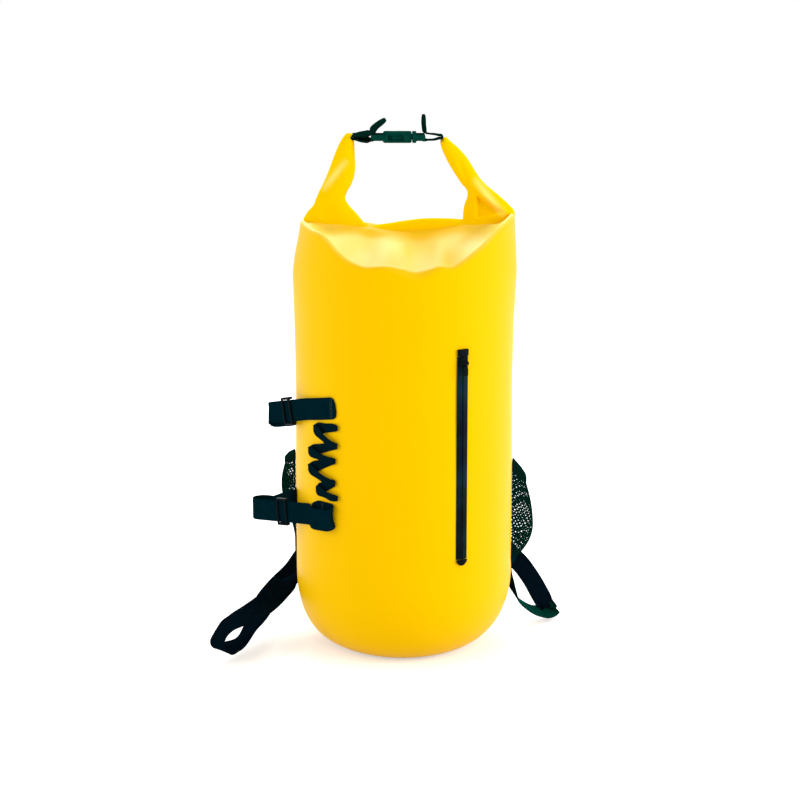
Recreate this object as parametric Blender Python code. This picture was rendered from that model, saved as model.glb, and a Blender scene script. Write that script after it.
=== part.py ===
"""Roll-top dry bag backpack: a welded tube with a rolled mouth, straps, pockets and a front zip.

Metres, +Z up. The bag stands on its round base at the origin and its front faces -Y.
An azimuth is counted from the front, towards +X.
"""
import math

import bmesh
import bpy
from mathutils import Matrix, Vector
import numpy as np

# Driving dimensions: the bag
BODY_RADIUS = 0.124
BASE_FLAT_RADIUS = 0.060
BASE_ROUNDING_HEIGHT = 0.085
BASE_PANEL_THICKNESS = 0.0025
TARPAULIN_WALL = 0.002
CREASE_HEIGHT = 0.451
CREASE_POWER = 2.2
CREASE_BEND = 0.009
CORNER_RISE = 0.040
LID_RISE = 0.019
MOUTH_INSET = 0.012
NECK_HALF_DEPTH = 0.007
NECK_HEIGHT = 0.004
BODY_SIDES = 48
WALL_SHARES = (0.3, 0.6, 0.85)
LID_SHARES = (0.3, 0.65, 1.0)
BEND_ANGLES = (0, 40, 80)

# Driving dimensions: the roll and its two arms
ROLL_HALF_DEPTH = 0.014
ROLL_THICKNESS = 0.0150
ROLL_TO_ARM = 0.066
ROLL_STATIONS = 23
ROLL_SIDES = 14
ROLL_SQUARENESS = 2.8
ARM_FOOT_RISE = 0.0055
ARM_STATIONS = 9
ARM_SIDES = 16
ARM_SQUARENESS = 2.5
ARM_HALF_DEPTH = (0.014, 0.016, 0.0145)
ARM_HEIGHT = 0.0785
LEFT_ARM_EXTRA_HEIGHT = 0.003
LEFT_ARM_FOOT_INSET = 0.004
LEFT_ARM_MIDDLE = 0.0705
LEFT_ARM_HALF_WIDTH = (0.021, 0.0155, 0.0065)
RIGHT_ARM_FOOT_INSET = -0.006
RIGHT_ARM_MIDDLE = 0.0685
RIGHT_ARM_HALF_WIDTH = (0.023, 0.0125, 0.0050)
STIFFENER_HALF_LENGTH = 0.068
STIFFENER_HEIGHT = 0.008
STIFFENER_THICKNESS = 0.002
STIFFENER_COVER = 0.0022

# Driving dimensions: the closing buckle and its webbing
BUCKLE_CENTRE_X = -0.0075
BUCKLE_DROP = 0.001
BUCKLE_RAIL = 0.0041
BUCKLE_HALF_THICKNESS = 0.006
BUCKLE_WALL = 0.0022
SOCKET_LENGTH = 0.032
LADDER_LENGTH = 0.0135
LADDER_HALF_THICKNESS = 0.002
BAR_LENGTH = 0.0032
PLUG_COLLAR = 0.0045
PRONG_END_GAP = 0.0028
PRONG_WIDTH = 0.0035
PRONG_TAPER = 0.005
GUIDE_LENGTH = 0.015
GUIDE_HALF_WIDTH = 0.003
CLOSURE_WEBBING_WIDTH = 0.025
CLOSURE_WEBBING_THICKNESS = 0.0015
LEFT_WEBBING_SPAN = 0.019
RIGHT_WEBBING_SPAN = 0.0168
FOLD_HALF_HEIGHT = 0.0021
LEFT_TAIL = (0.013, 0.019)
RIGHT_TAIL = (0.0005, 0.023)

# Driving dimensions: the front zip
ZIP_AZIMUTH = 30.4
ZIP_RISE = 0.0325
ZIP_TOP_MARGIN = 0.098
ZIP_WIDTH = 0.014
ZIP_TAPE_THICKNESS = 0.0012
ZIP_COIL_WIDTH = 0.0012
ZIP_COIL_HEIGHT = 0.0016
ZIP_CAP_LENGTH = 0.008
ZIP_CAP_THICKNESS = 0.0026
ZIP_SLOT_WIDTH = 0.007
SLIDER_LENGTH = 0.011
SLIDER_WIDTH = 0.009
SLIDER_THICKNESS = 0.003
SLIDER_DROP = 0.001
BRIDGE_PIN_RADIUS = 0.0008
LUG_THICKNESS = 0.0012
PULL_EYE_RADIUS = 0.0018
PULL_LENGTH = 0.014
PULL_WIDTH = 0.006
PULL_TAB_LENGTH = 0.0084
PULL_NECK_WIDTH = 0.0028
PULL_THICKNESS = 0.0014
POUCH_HALF_SPREAD = 36.0
POUCH_DEPTH = 0.014
POUCH_MARGIN = 0.012
POUCH_WALL = 0.0012
SIDE_FULLNESS = 0.7
END_FULLNESS = 0.5

# Driving dimensions: the side straps, their slides and the lacing
SIDE_WEBBING_WIDTH = 0.0245
SIDE_WEBBING_THICKNESS = 0.0016
STRAP_FRONT_AZIMUTH = -37.0
STRAP_LEAVE_AZIMUTH = -58.0
STRAP_END_AZIMUTH = -82.0
STRAP_RETURN_SPREAD = 4.0
STRAP_SEWN_SPREAD = 8.5
STRAP_TURN_RADIUS = 0.005
STRAP_LIFT = 0.0012
UPPER_STRAP_REACH = 0.030
UPPER_STRAP_HEIGHTS = (0.294, 0.286, 0.271, 0.270)
UPPER_STRAP_BOW = 0.0
LOWER_STRAP_REACH = 0.046
LOWER_STRAP_HEIGHTS = (0.169, 0.164, 0.158, 0.160)
LOWER_STRAP_BOW = 0.006
GLIDE_HALF_LENGTH = 0.007
GLIDE_HALF_THICKNESS = 0.0034
GLIDE_RAIL = 0.003
GLIDE_BAR = 0.0024
LACING_AZIMUTH = -49.0
LACING_HALF_SPREAD = 11.5
LACING_GAP_ABOVE = 0.00575
LACING_GAP_BELOW = 0.01075
LACING_TURNS = 4
LACING_WIDTH = 0.008
LACING_THICKNESS = 0.0012
LACING_LOFT = 0.003

# Driving dimensions: the mesh pockets
POCKET_WALL = 0.0016
POCKET_RISE = 0.015
HEM_HEIGHT = 0.009
HEM_THICKNESS = 0.0024
RIGHT_POCKET_AZIMUTHS = (76.0, 140.0)
RIGHT_POCKET_HEIGHT = 0.095
RIGHT_POCKET_BULGE = 0.037
RIGHT_POCKET_PEAK = 0.30
RIGHT_POCKET_MOUTH = 0.30
LEFT_POCKET_GAP = 2.0
LEFT_POCKET_END_AZIMUTH = -140.0
LEFT_POCKET_HEIGHT = 0.105
LEFT_POCKET_BULGE = 0.035
LEFT_POCKET_PEAK = 0.65
LEFT_POCKET_MOUTH = 0.35

# Driving dimensions: the shoulder harness
YOKE_DROP = 0.056
YOKE_HEIGHT = 0.036
YOKE_HALF_SPREAD = 34.0
YOKE_THICKNESS = 0.002
PAD_TOP_AZIMUTH = 162.0
PAD_BOTTOM_AZIMUTH = 151.0
PAD_TOP_WIDTH = 0.058
PAD_BOTTOM_WIDTH = 0.044
PAD_THICKNESS = 0.012
PAD_BOW = 0.026
PAD_STAND_OFF = 0.012
PAD_STATIONS = 13
PAD_SIDES = 16
PAD_SQUARENESS = 3.0
LOCK_BOTTOM = 0.1272
LOCK_HEIGHT = 0.022
LOCK_HALF_THICKNESS = 0.0034
LOCK_RAIL = 0.0035
LOCK_BAR = 0.003
HARNESS_WEBBING_WIDTH = 0.026
HARNESS_WEBBING_THICKNESS = 0.0016
WEBBING_START = 0.0077
WEBBING_BELOW_LOCK = 0.0065
ANCHOR_AZIMUTH = 108.0
ANCHOR_HALF_SPREAD = 9.0
ANCHOR_HEIGHT = 0.034
ANCHOR_THICKNESS = 0.002
ANCHOR_GAP = 0.002
ANCHOR_SHARES = (0.3, 0.6, 0.9)

# Routes of the slack lower webbing from under each ladder lock, round its bight and back to its tab:
# azimuth to its own side in degrees, distance from the wall, and height as a share of the lock's
LEFT_ROUTE = [(146, 0.0240, 0.770), (135, 0.0255, 0.629), (114, 0.0290, 0.393), (92, 0.0457, 0.244),
              (78, 0.0780, 0.142), (74.4, 0.0926, 0.104), (72.2, 0.0905, 0.132), (76.0, 0.0740, 0.177),
              (90, 0.0410, 0.287), (100.2, 0.0230, 0.354), (107, 0.0130, 0.4245)]
RIGHT_ROUTE = [(145.5, 0.0237, 0.786), (134, 0.0255, 0.715), (120, 0.0280, 0.605), (116.3, 0.0430, 0.393),
               (113.5, 0.0534, 0.189), (111.7, 0.0542, 0.110), (109.6, 0.0486, 0.079), (108.2, 0.0388, 0.094),
               (107.8, 0.0290, 0.189), (107.4, 0.0192, 0.314), (107.7, 0.0100, 0.4245)]

# Fits
CLEARANCE = 0.0004
BAR_CLEARANCE = 0.0004

# Heights and places that follow from the sizes above
SEAT = BODY_RADIUS + CLEARANCE
FACET_DISTANCE = BODY_RADIUS * math.cos(math.pi / BODY_SIDES)
MOUTH_HALF_LENGTH = BODY_RADIUS - MOUTH_INSET
NECK_TOP_AT_ENDS = CREASE_HEIGHT + CORNER_RISE + NECK_HEIGHT
ARM_FOOT = NECK_TOP_AT_ENDS + ARM_FOOT_RISE
BUCKLE_HEIGHT = ARM_FOOT + ARM_HEIGHT + BUCKLE_DROP
BUCKLE_HALF_WIDTH = CLOSURE_WEBBING_WIDTH / 2 + BAR_CLEARANCE + BUCKLE_RAIL
SOCKET_INNER_END = BUCKLE_CENTRE_X + SOCKET_LENGTH / 2
SOCKET_OUTER_END = BUCKLE_CENTRE_X - SOCKET_LENGTH / 2
LEFT_BAR_X = SOCKET_OUTER_END - LADDER_LENGTH + BAR_LENGTH / 2
PLUG_FACE_X = SOCKET_INNER_END + CLEARANCE
RIGHT_BAR_X = PLUG_FACE_X + PLUG_COLLAR + LADDER_LENGTH - BAR_LENGTH * 1.5
PRONG_LENGTH = SOCKET_LENGTH - BUCKLE_WALL - PRONG_END_GAP
LEFT_ARM_CENTRE = (LEFT_ARM_HALF_WIDTH[0] + LEFT_ARM_FOOT_INSET - MOUTH_HALF_LENGTH, -LEFT_ARM_MIDDLE,
                   LEFT_BAR_X - BAR_LENGTH / 2 - LEFT_WEBBING_SPAN - LEFT_ARM_HALF_WIDTH[2])
RIGHT_ARM_CENTRE = (MOUTH_HALF_LENGTH - RIGHT_ARM_FOOT_INSET - RIGHT_ARM_HALF_WIDTH[0], RIGHT_ARM_MIDDLE,
                    RIGHT_BAR_X + BAR_LENGTH / 2 + RIGHT_WEBBING_SPAN + RIGHT_ARM_HALF_WIDTH[2])
ZIP_BOTTOM = BASE_ROUNDING_HEIGHT + ZIP_RISE
ZIP_TOP = CREASE_HEIGHT - ZIP_TOP_MARGIN
BRIDGE_HEIGHT = PULL_EYE_RADIUS + BAR_CLEARANCE
STRAP_RETURN_AZIMUTH = STRAP_END_AZIMUTH + STRAP_RETURN_SPREAD
STRAP_SEWN_AZIMUTH = STRAP_RETURN_AZIMUTH - STRAP_SEWN_SPREAD
LACING_EDGE = (SIDE_WEBBING_WIDTH + LACING_WIDTH) / 2
LACING_TOP = UPPER_STRAP_HEIGHTS[0] - LACING_EDGE - LACING_GAP_ABOVE
LACING_BOTTOM = LOWER_STRAP_HEIGHTS[0] + LACING_EDGE + LACING_GAP_BELOW
LEFT_POCKET_AZIMUTHS = (STRAP_SEWN_AZIMUTH - LEFT_POCKET_GAP, LEFT_POCKET_END_AZIMUTH)
POCKET_BOTTOM = BASE_ROUNDING_HEIGHT + POCKET_RISE
YOKE_BOTTOM = CREASE_HEIGHT - YOKE_DROP
LOCK_TOP = LOCK_BOTTOM + LOCK_HEIGHT
PAD_LENGTH = YOKE_BOTTOM - LOCK_TOP - 2 * CLEARANCE
ANCHOR_BOTTOM = POCKET_BOTTOM - ANCHOR_GAP - ANCHOR_HEIGHT
TWIST_POWER = 3

# Colours, as linear red, green and blue
YELLOW = (1.0, 0.62, 0.0)
NEAR_BLACK = (0.006, 0.014, 0.018)
BUCKLE_GREEN_BLACK = (0.006, 0.03, 0.024)
MESH_BLACK = (0.006, 0.02, 0.016)


def clear_scene():
    """Remove every object of the starting scene."""
    for thing in list(bpy.data.objects):
        bpy.data.objects.remove(thing, do_unlink=True)


def finish(name, colour, roughness, metallic=0.0):
    """A Principled material with one colour."""
    material = bpy.data.materials.new(name)
    material.use_nodes = True
    shader = material.node_tree.nodes["Principled BSDF"]
    shader.inputs["Base Color"].default_value = (*colour, 1.0)
    shader.inputs["Roughness"].default_value = roughness
    shader.inputs["Metallic"].default_value = metallic
    return material


def add_piece(name, vertices, faces, material):
    """Make one named object from vertices and faces, with its faces turned outwards."""
    mesh = bpy.data.meshes.new(name)
    mesh.from_pydata([tuple(map(float, vertex)) for vertex in vertices], [], faces)
    shape = bmesh.new()
    shape.from_mesh(mesh)
    bmesh.ops.recalc_face_normals(shape, faces=shape.faces)
    shape.to_mesh(mesh)
    shape.free()
    mesh.shade_smooth()
    mesh.set_sharp_from_angle(angle=math.radians(35))
    mesh.materials.append(material)
    piece = bpy.data.objects.new(name, mesh)
    bpy.context.scene.collection.objects.link(piece)
    return piece


def grid_faces(rows, columns, start=0, wrap=False):
    """Quads of a grid of vertices that is numbered row by row."""
    faces = []
    for row in range(rows - 1):
        for column in range(columns if wrap else columns - 1):
            beside = (column + 1) % columns
            low = start + row * columns
            high = low + columns
            faces.append((low + column, low + beside, high + beside, high + column))
    return faces


def sheet_piece(name, outer, inner, material, wrap=False):
    """A closed wall between two grids of points, which may be wrapped into a tube."""
    rows, columns = outer.shape[:2]
    count = rows * columns
    faces = grid_faces(rows, columns, 0, wrap)
    faces += [face[::-1] for face in grid_faces(rows, columns, count, wrap)]
    edges = [[row * columns + column for column in range(columns)] for row in (0, rows - 1)]
    if wrap:
        edges = [edge + edge[:1] for edge in edges]
    else:
        edges += [[row * columns + column for row in range(rows)] for column in (0, columns - 1)]
    for edge in edges:
        faces += [(a, b, b + count, a + count) for a, b in zip(edge, edge[1:])]
    vertices = np.concatenate([outer.reshape(-1, 3), inner.reshape(-1, 3)])
    return add_piece(name, vertices, faces, material)


def loft_piece(name, rings, material):
    """A closed solid through a row of closed rings, with flat ends."""
    count, sides = rings.shape[:2]
    faces = grid_faces(count, sides, 0, True)
    faces.append(tuple(range(sides)))
    faces.append(tuple(range((count - 1) * sides, count * sides)))
    return add_piece(name, rings.reshape(-1, 3), faces, material)


def box_piece(name, low, high, material):
    """A box between two corners."""
    (x0, y0, z0), (x1, y1, z1) = low, high
    rings = np.array([[(x0, y0, z), (x1, y0, z), (x1, y1, z), (x0, y1, z)] for z in (z0, z1)])
    return loft_piece(name, rings, material)


def shape_with(piece, other, operation):
    """Cut the other object out of a piece, or join it on, and hide the other object."""
    modifier = piece.modifiers.new(other.name, 'BOOLEAN')
    modifier.operation = operation
    modifier.solver = 'EXACT'
    modifier.object = other
    other.hide_render = True
    other.display_type = 'WIRE'


def cut(piece, low, high, name):
    """Cut a box out of a piece."""
    shape_with(piece, box_piece(name, low, high, piece.data.materials[0]), 'DIFFERENCE')


def join(piece, low, high, name):
    """Join a box to a piece."""
    shape_with(piece, box_piece(name, low, high, piece.data.materials[0]), 'UNION')


def bevel(piece, width):
    """Round the sharp edges of a piece."""
    modifier = piece.modifiers.new("rounded_edges", 'BEVEL')
    modifier.width = width
    modifier.segments = 2
    modifier.limit_method = 'ANGLE'
    modifier.harden_normals = False


def place(piece, origin, columns):
    """Set a piece's own axes and origin in the world."""
    matrix = Matrix.Identity(4)
    for index, column in enumerate(columns):
        for row in range(3):
            matrix[row][index] = float(column[row])
    matrix.translation = Vector(tuple(map(float, origin)))
    piece.matrix_world = matrix


def empty_at(name, origin):
    """An empty that marks a joint."""
    marker = bpy.data.objects.new(name, None)
    marker.empty_display_size = 0.01
    marker.location = origin
    bpy.context.scene.collection.objects.link(marker)
    return marker


def hang_on(piece, marker):
    """Parent a piece to a marker and leave it where it is."""
    piece.parent = marker
    piece.matrix_parent_inverse = Matrix.Translation(-marker.location)


def outwards(azimuth):
    """Unit vector away from the bag's axis at an azimuth in degrees."""
    angle = math.radians(azimuth)
    return np.array([math.sin(angle), -math.cos(angle), 0.0])


def around(azimuth):
    """Unit vector along the wall at an azimuth in degrees, towards a larger azimuth."""
    angle = math.radians(azimuth)
    return np.array([math.cos(angle), math.sin(angle), 0.0])


def at(azimuth, radius, height):
    """Point at an azimuth in degrees, a distance from the bag's axis and a height."""
    return outwards(azimuth) * radius + np.array([0.0, 0.0, height])


def through_three(values, share):
    """Quadratic through three values at shares 0, one half and 1."""
    start, middle, end = values
    return (start * (1 - share) * (1 - 2 * share) + 4 * middle * share * (1 - share)
            + end * share * (2 * share - 1))


def unit(vectors):
    """Vectors scaled to length 1."""
    vectors = np.asarray(vectors, float)
    return vectors / np.linalg.norm(vectors, axis=-1, keepdims=True)


def smooth_path(points, steps):
    """Points on a smooth curve through the given points, with steps for each stretch.

    Each stretch is a cubic, whose slopes at its ends weigh the stretches on both sides by length.
    """
    points = np.asarray(points, float)
    chords = np.diff(points, axis=0)
    lengths = np.linalg.norm(chords, axis=1)[:, None]
    slopes = chords / lengths
    inner = (slopes[:-1] * lengths[1:] + slopes[1:] * lengths[:-1]) / (lengths[:-1] + lengths[1:])
    slopes = np.vstack([slopes[:1], inner, slopes[-1:]])
    t = (np.arange(steps) / steps)[:, None]
    curve = []
    for a, b, slope_a, slope_b, length in zip(points, points[1:], slopes, slopes[1:], lengths):
        curve.append(a * (1 + 2 * t) * (1 - t) ** 2 + b * t ** 2 * (3 - 2 * t)
                     + length * (slope_a * t * (1 - t) ** 2 - slope_b * t ** 2 * (1 - t)))
    return np.vstack(curve + [points[-1:]])


def square_to(tangents, directions):
    """Unit vectors nearest to the given directions that stand square to the tangents."""
    along = np.sum(np.asarray(directions) * tangents, axis=-1, keepdims=True)
    return unit(directions - tangents * along)


def carried_width(path, start, end, flat):
    """Width directions of a slack strap: carried along with little twist, and flat in its last steps."""
    tangents = unit(np.gradient(path, axis=0))
    across = [square_to(tangents[0], start)]
    for tangent in tangents[1:]:
        across.append(square_to(tangent, across[-1]))
    across = np.array(across)
    faces = np.cross(tangents, across)
    wanted = square_to(tangents[-1], end)
    wanted = wanted * np.sign(np.dot(wanted, across[-1]))
    twist = math.atan2(np.dot(wanted, faces[-1]), np.dot(wanted, across[-1]))
    steps = np.linalg.norm(np.diff(path, axis=0), axis=1)
    share = np.minimum(1.0, np.concatenate([[0.0], np.cumsum(steps)]) / steps[:-flat].sum())
    turn = (twist * share ** TWIST_POWER)[:, None]
    return across * np.cos(turn) + faces * np.sin(turn)


def ribbon_piece(name, path, width, thickness, material, width_direction):
    """A flat strap of constant width and thickness along a path, with its width near a direction."""
    tangents = unit(np.gradient(path, axis=0))
    across = square_to(tangents, width_direction)
    faces = np.cross(tangents, across)
    corners = [(-1, -1), (1, -1), (1, 1), (-1, 1)]
    rings = np.stack([path + across * (a * width / 2) + faces * (b * thickness / 2)
                      for a, b in corners], axis=1)
    return loft_piece(name, rings, material)


def crease_height(azimuth):
    """Height of the fold between wall and lid, lowest at the front and highest at the two corners."""
    return CREASE_HEIGHT + CORNER_RISE * np.abs(np.sin(azimuth)) ** CREASE_POWER


def neck_foot(x):
    """Height at which the lid turns up into the neck, at a place along the mouth."""
    return CREASE_HEIGHT + LID_RISE + (CORNER_RISE - LID_RISE) * (x / MOUTH_HALF_LENGTH) ** 2


def body_azimuths():
    """Azimuths of the bag's upright edges, in radians, with a flat facet centred under the zip."""
    step = 2 * math.pi / BODY_SIDES
    return math.radians(ZIP_AZIMUTH) + (np.arange(BODY_SIDES) + 0.5) * step


def shell_rings(inset):
    """Rings of the bag's wall from its base to its mouth, moved inwards by an inset."""
    azimuth = body_azimuths()
    sine, cosine = np.sin(azimuth), np.cos(azimuth)
    foot = BASE_FLAT_RADIUS + CLEARANCE
    radius = BODY_RADIUS - inset
    crease = crease_height(azimuth)
    rings = []

    def ring(x, y, z):
        rings.append(np.stack([x, y, np.broadcast_to(z, x.shape)], axis=1))

    for angle in np.radians(np.linspace(0, 90, 7)):
        reach = foot + (radius - foot) * math.sin(angle)
        height = BASE_ROUNDING_HEIGHT - (BASE_ROUNDING_HEIGHT - inset) * math.cos(angle)
        ring(reach * sine, -reach * cosine, height)
    for share in WALL_SHARES:
        height = BASE_ROUNDING_HEIGHT + share * (crease - CREASE_BEND - BASE_ROUNDING_HEIGHT)
        ring(radius * sine, -radius * cosine, height)
    for angle in np.radians(BEND_ANGLES):
        reach = BODY_RADIUS - CREASE_BEND + (CREASE_BEND - inset) * math.cos(angle)
        height = crease - CREASE_BEND + (CREASE_BEND - inset) * math.sin(angle)
        ring(reach * sine, -reach * cosine, height)
    rim = BODY_RADIUS - CREASE_BEND
    mouth_x, mouth_y = (MOUTH_HALF_LENGTH - inset) * sine, (inset - NECK_HALF_DEPTH) * cosine
    for share in LID_SHARES:
        x = rim * sine * (1 - share) + mouth_x * share
        y = -rim * cosine * (1 - share) + mouth_y * share
        z = crease * (1 - share) + neck_foot(mouth_x) * share - inset
        ring(x, y, z)
    ring(mouth_x, mouth_y, neck_foot(mouth_x) + NECK_HEIGHT)
    return np.array(rings)


def make_bag(tarpaulin):
    """The tube with its lid and neck, open at the base and at the mouth, and the disc in its base."""
    outer, inner = shell_rings(0.0), shell_rings(TARPAULIN_WALL)
    shell = sheet_piece("bag_shell", outer, inner, tarpaulin, wrap=True)
    half, deep = ZIP_SLOT_WIDTH / 2, 2 * TARPAULIN_WALL
    slot = box_piece("zip_slot", (-half, -deep, ZIP_BOTTOM + ZIP_CAP_LENGTH),
                     (half, deep, ZIP_TOP - ZIP_CAP_LENGTH), tarpaulin)
    on_zip(slot)
    shape_with(shell, slot, 'DIFFERENCE')

    azimuth = body_azimuths()
    circle = np.stack([np.sin(azimuth), -np.cos(azimuth), 0 * azimuth], axis=1) * BASE_FLAT_RADIUS
    rings = np.array([circle, circle + (0, 0, BASE_PANEL_THICKNESS)])
    loft_piece("base_panel", rings, tarpaulin)


def rounded_section(half_width, half_height, sides, power):
    """Points of a rounded box (superellipse) about the origin, as two columns."""
    angle = 2 * math.pi * (np.arange(sides) + 0.5) / sides
    cosine, sine = np.cos(angle), np.sin(angle)
    return np.stack([half_width * np.sign(cosine) * np.abs(cosine) ** (2 / power),
                     half_height * np.sign(sine) * np.abs(sine) ** (2 / power)], axis=1)


def roll_limits(x):
    """Lowest and highest height of the rolled mouth at a place along it."""
    low = neck_foot(x) + NECK_HEIGHT + CLEARANCE
    middle = neck_foot(0.0) + NECK_HEIGHT + ROLL_THICKNESS
    full = ARM_FOOT - CLEARANCE
    high = min(full, middle + (full - middle) * (x / ROLL_TO_ARM) ** 2)
    return low, high


def make_roll(tarpaulin, plastic):
    """The rolled mouth on top of the neck, with the stiffening strip in a groove of its underside."""
    rings = []
    for x in np.linspace(-MOUTH_HALF_LENGTH, MOUTH_HALF_LENGTH, ROLL_STATIONS):
        low, high = roll_limits(x)
        section = rounded_section(ROLL_HALF_DEPTH, (high - low) / 2, ROLL_SIDES, ROLL_SQUARENESS)
        heights = section[:, 1] + (low + high) / 2
        rings.append(np.column_stack([np.full(ROLL_SIDES, x), section[:, 0], heights]))
    roll = loft_piece("rolled_mouth", np.array(rings), tarpaulin)
    low, high = roll_limits(0.0)
    top = high - STIFFENER_COVER
    half = STIFFENER_THICKNESS / 2
    cut(roll, (-STIFFENER_HALF_LENGTH - CLEARANCE, -half - CLEARANCE, low - NECK_HEIGHT),
        (STIFFENER_HALF_LENGTH + CLEARANCE, half + CLEARANCE, top + CLEARANCE), "stiffener_groove")
    box_piece("mouth_stiffener", (-STIFFENER_HALF_LENGTH, -half, top - STIFFENER_HEIGHT),
              (STIFFENER_HALF_LENGTH, half, top), plastic)


def make_arm(name, height, centres, half_widths, tarpaulin):
    """One end of the roll, bent up: level slices that narrow and lean in towards the buckle."""
    rings = []
    for share in np.linspace(0, 1, ARM_STATIONS):
        half_width = through_three(half_widths, share)
        half_depth = through_three(ARM_HALF_DEPTH, share)
        section = rounded_section(half_width, half_depth, ARM_SIDES, ARM_SQUARENESS)
        section[:, 0] += through_three(centres, share)
        rings.append(np.column_stack([section, np.full(ARM_SIDES, ARM_FOOT + height * share)]))
    return loft_piece(name, np.array(rings), tarpaulin)


def arm_inner_edge(height, centres, half_widths):
    """Least distance from the bag's middle plane to an arm, beside the fold of its webbing."""
    fold_bottom = BUCKLE_HEIGHT - FOLD_HALF_HEIGHT - CLOSURE_WEBBING_THICKNESS
    levels = ((fold_bottom - ARM_FOOT) / height, 1.0)
    return min(abs(through_three(centres, share)) - through_three(half_widths, share) for share in levels)


def closure_webbing(name, side, bar_x, arm_gap, tail, webbing):
    """Webbing from its end at the bar, out to the fold at the arm, back over the bar and up as a tail."""
    off = BAR_CLEARANCE + CLOSURE_WEBBING_THICKNESS / 2
    beside = BAR_LENGTH / 2 + off
    above = LADDER_HALF_THICKNESS + off
    fold = arm_gap - CLEARANCE - CLOSURE_WEBBING_THICKNESS / 2
    strand = 2 * CLOSURE_WEBBING_THICKNESS
    turn = FOLD_HALF_HEIGHT
    corner = off * math.sqrt(0.5)
    lift = above + strand / 2
    route = [(beside, above - strand), (beside, off - above),
             (BAR_LENGTH / 2 + corner, -LADDER_HALF_THICKNESS - corner), (BAR_LENGTH / 2, -above),
             (-beside, -above), (2 * turn - fold, -turn), (turn - fold, -turn),
             (0.3 * turn - fold, -0.7 * turn), (-fold, 0.0), (0.3 * turn - fold, 0.7 * turn),
             (turn - fold, turn), (2 * turn - fold, turn), (-beside - strand, above + strand / 6),
             (-beside / 2, lift), (0.15 * tail[0], lift + 0.25 * tail[1]), tail]
    path = [(bar_x - side * along, 0.0, BUCKLE_HEIGHT + up) for along, up in route]
    return ribbon_piece(name, smooth_path(path, 3), CLOSURE_WEBBING_WIDTH, CLOSURE_WEBBING_THICKNESS,
                        webbing, (0, 1, 0))


def make_socket(plastic):
    """Female half: a hollow body with side windows, and a bar that the left webbing goes round."""
    z = BUCKLE_HEIGHT
    width, thick = BUCKLE_HALF_WIDTH, BUCKLE_HALF_THICKNESS
    socket = box_piece("buckle_socket", (SOCKET_OUTER_END, -width, z - thick),
                       (SOCKET_INNER_END, width, z + thick), plastic)
    outer = SOCKET_OUTER_END - LADDER_LENGTH
    join(socket, (outer, -width, z - LADDER_HALF_THICKNESS),
         (SOCKET_OUTER_END + BUCKLE_WALL / 2, width, z + LADDER_HALF_THICKNESS), "socket_ladder")
    half_slot = CLOSURE_WEBBING_WIDTH / 2 + BAR_CLEARANCE
    cut(socket, (outer + BAR_LENGTH, -half_slot, z - thick), (SOCKET_OUTER_END, half_slot, z + thick),
        "socket_slot")
    inside = width - BUCKLE_WALL
    cut(socket, (SOCKET_OUTER_END + BUCKLE_WALL, -inside, z - thick + BUCKLE_WALL),
        (SOCKET_INNER_END + BUCKLE_WALL, inside, z + thick - BUCKLE_WALL), "socket_cavity")
    window = thick - 1.5 * BUCKLE_WALL
    cut(socket, (SOCKET_OUTER_END + 2.5 * BUCKLE_WALL, -2 * width, z - window),
        (SOCKET_INNER_END - 4 * BUCKLE_WALL, 2 * width, z + window), "socket_windows")
    return socket


def make_plug(plastic):
    """Male half: a collar with a centre guide, and a bar that the right webbing goes round."""
    z = BUCKLE_HEIGHT
    width, thick = BUCKLE_HALF_WIDTH, BUCKLE_HALF_THICKNESS
    collar_end = PLUG_FACE_X + PLUG_COLLAR
    plug = box_piece("buckle_plug", (PLUG_FACE_X, -width, z - thick), (collar_end, width, z + thick), plastic)
    guide = GUIDE_HALF_WIDTH
    join(plug, (PLUG_FACE_X - GUIDE_LENGTH, -guide, z - guide),
         (collar_end - PLUG_COLLAR / 2, guide, z + guide), "plug_guide")
    far = RIGHT_BAR_X + BAR_LENGTH / 2
    join(plug, (collar_end - PLUG_COLLAR / 2, -width, z - LADDER_HALF_THICKNESS),
         (far, width, z + LADDER_HALF_THICKNESS), "plug_ladder")
    half_slot = CLOSURE_WEBBING_WIDTH / 2 + BAR_CLEARANCE
    cut(plug, (collar_end, -half_slot, z - thick), (far - BAR_LENGTH, half_slot, z + thick), "plug_slot")
    return plug


def make_prong(name, side, plastic):
    """A sprung prong beside the guide, with a tapered nose, hung on its root at the collar."""
    outer = BUCKLE_HALF_WIDTH - BUCKLE_WALL - CLEARANCE
    inner = outer - PRONG_WIDTH
    half = BUCKLE_HALF_THICKNESS - BUCKLE_WALL - CLEARANCE
    root = PLUG_FACE_X - CLEARANCE
    stations = [(root, inner, outer), (root - PRONG_LENGTH + PRONG_TAPER, inner, outer),
                (root - PRONG_LENGTH, inner, outer - PRONG_WIDTH / 2)]
    rings = np.array([[(x, side * y, BUCKLE_HEIGHT + z) for y, z in
                       ((a, -half), (b, -half), (b, half), (a, half))] for x, a, b in stations])
    prong = loft_piece(name, rings, plastic)
    marker = empty_at(name + "_root", (root, side * (inner + outer) / 2, BUCKLE_HEIGHT))
    hang_on(prong, marker)


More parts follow.
